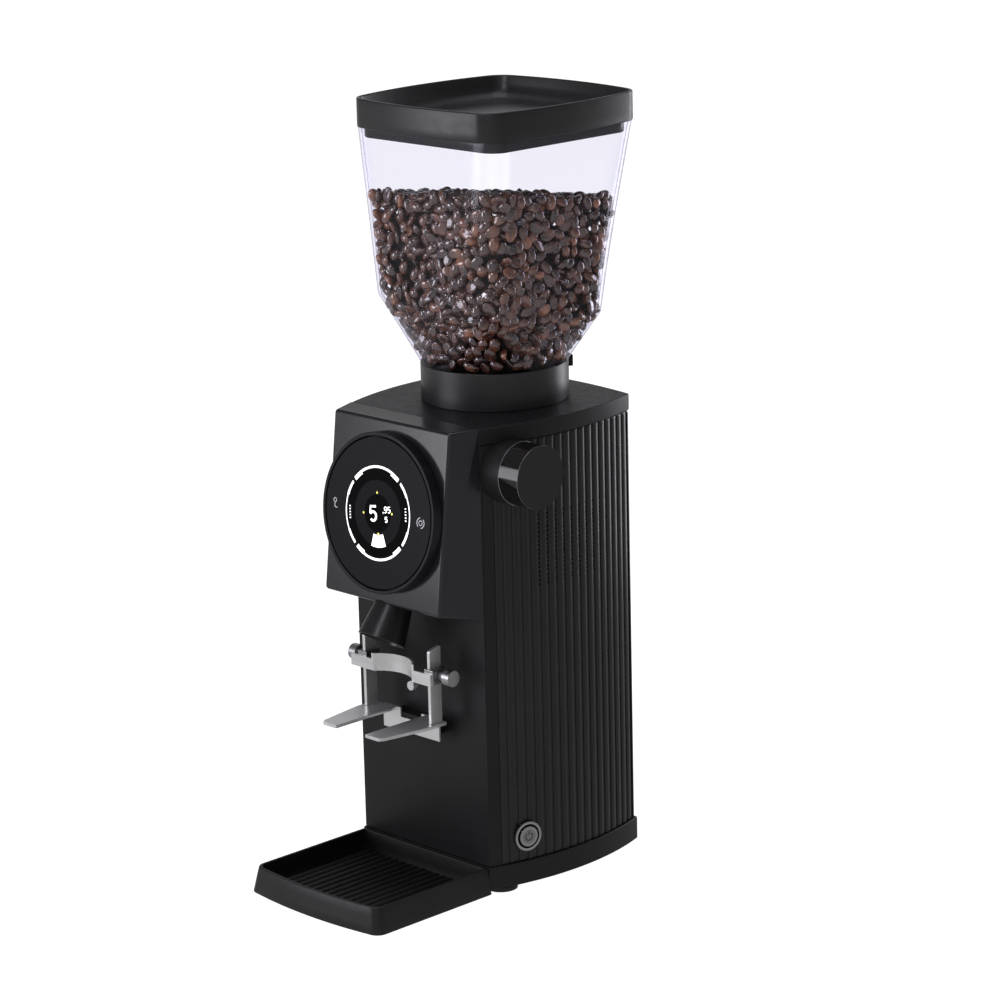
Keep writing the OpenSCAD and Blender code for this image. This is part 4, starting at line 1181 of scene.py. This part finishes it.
wall_verts, wall_faces = [(0, 0, -WALL_FAR)], []
for k in range(1, 24):
    wall_verts += sphere_ring(WALL_FAR, math.radians(-90 + 180 * k / 24), 48)
wall_verts.append((0, 0, WALL_FAR))
for i in range(48):
    j = (i + 1) % 48
    wall_faces.append((0, 1 + j, 1 + i))
    for k in range(22):
        a, b = 1 + k * 48, 1 + (k + 1) * 48
        wall_faces.append((a + i, a + j, b + j, b + i))
    wall_faces.append((1 + 22 * 48 + i, 1 + 22 * 48 + j, len(wall_verts) - 1))
walls = stage_mesh("studio_walls", wall_verts, wall_faces, studio_walls())
walls.visible_glossy = True
walls.visible_camera = False
walls.visible_diffuse = False

world = bpy.data.worlds.new("studio")
world.use_nodes = True
world.node_tree.nodes["Background"].inputs["Color"].default_value = (1, 1, 1, 1)
world.node_tree.nodes["Background"].inputs["Strength"].default_value = 0.22
bpy.context.scene.world = world


def softbox(name, centre, target, size_x, size_y, radiance):
    """A rectangular lamp aimed at a point, with its brightness given per area."""
    lamp = bpy.data.lights.new(name, "AREA")
    lamp.shape = "RECTANGLE"
    lamp.size, lamp.size_y = size_x, size_y
    lamp.energy = radiance * PI * size_x * size_y
    lamp.color = (0.95, 0.94, 1.0)
    o = bpy.data.objects.new(name, lamp)
    o.location = centre
    aim = Vector(target) - Vector(centre)
    o.rotation_euler = aim.to_track_quat("-Z", "Y").to_euler()
    o.visible_camera = False
    bpy.context.scene.collection.objects.link(o)
    return o


softbox("key_front_left", (-0.872, -1.544, 0.58), (0.048, -0.094, 0.38), 0.95, 1.0, 4.0)
softbox("rim_rear_right", (0.26, 1.82, 0.50), (0, 0, 0.25), 0.7, 1.4, 3.8)
softbox("rim_rear_left", (-1.40, 1.40, 1.25), (0, 0, 0.5), 1.4, 0.55, 0.75)
softbox("fill_camera", (1.9, -2.1, 1.3), (0, 0, 0.3), 1.2, 1.2, 0.6)
softbox("spark", (0.35, -1.45, 1.55), (0, 0, 0.45), 0.34, 0.34, 14.0)
softbox("overhead", (0, 0.1, 2.2), (0, 0, 0.3), 2.0, 2.0, 1.6)

az, el, roll = math.radians(45.764), math.radians(14.557), math.radians(-1.3957)
back = Vector((math.sin(az) * math.cos(el), -math.cos(az) * math.cos(el), math.sin(el)))
right = Vector((math.cos(az), math.sin(az), 0))
up = back.cross(right)
right_r = math.cos(roll) * right + math.sin(roll) * up
up_r = -math.sin(roll) * right + math.cos(roll) * up
aim_at = Vector((-0.83 * math.cos(az), -0.83 * math.sin(az), 290.11))
eye = aim_at + back * 2813.0
cam = bpy.data.cameras.new("photo_view")
cam.sensor_width = 36
cam.lens = 127.07
cam.clip_end = 60
cam_o = bpy.data.objects.new("photo_view", cam)
mat = Matrix((right_r, up_r, back)).transposed().to_4x4()
mat.translation = Vector(to_m(eye))
cam_o.matrix_world = mat
bpy.context.scene.collection.objects.link(cam_o)
bpy.context.scene.camera = cam_o
bpy.context.scene.view_settings.view_transform = "Standard"
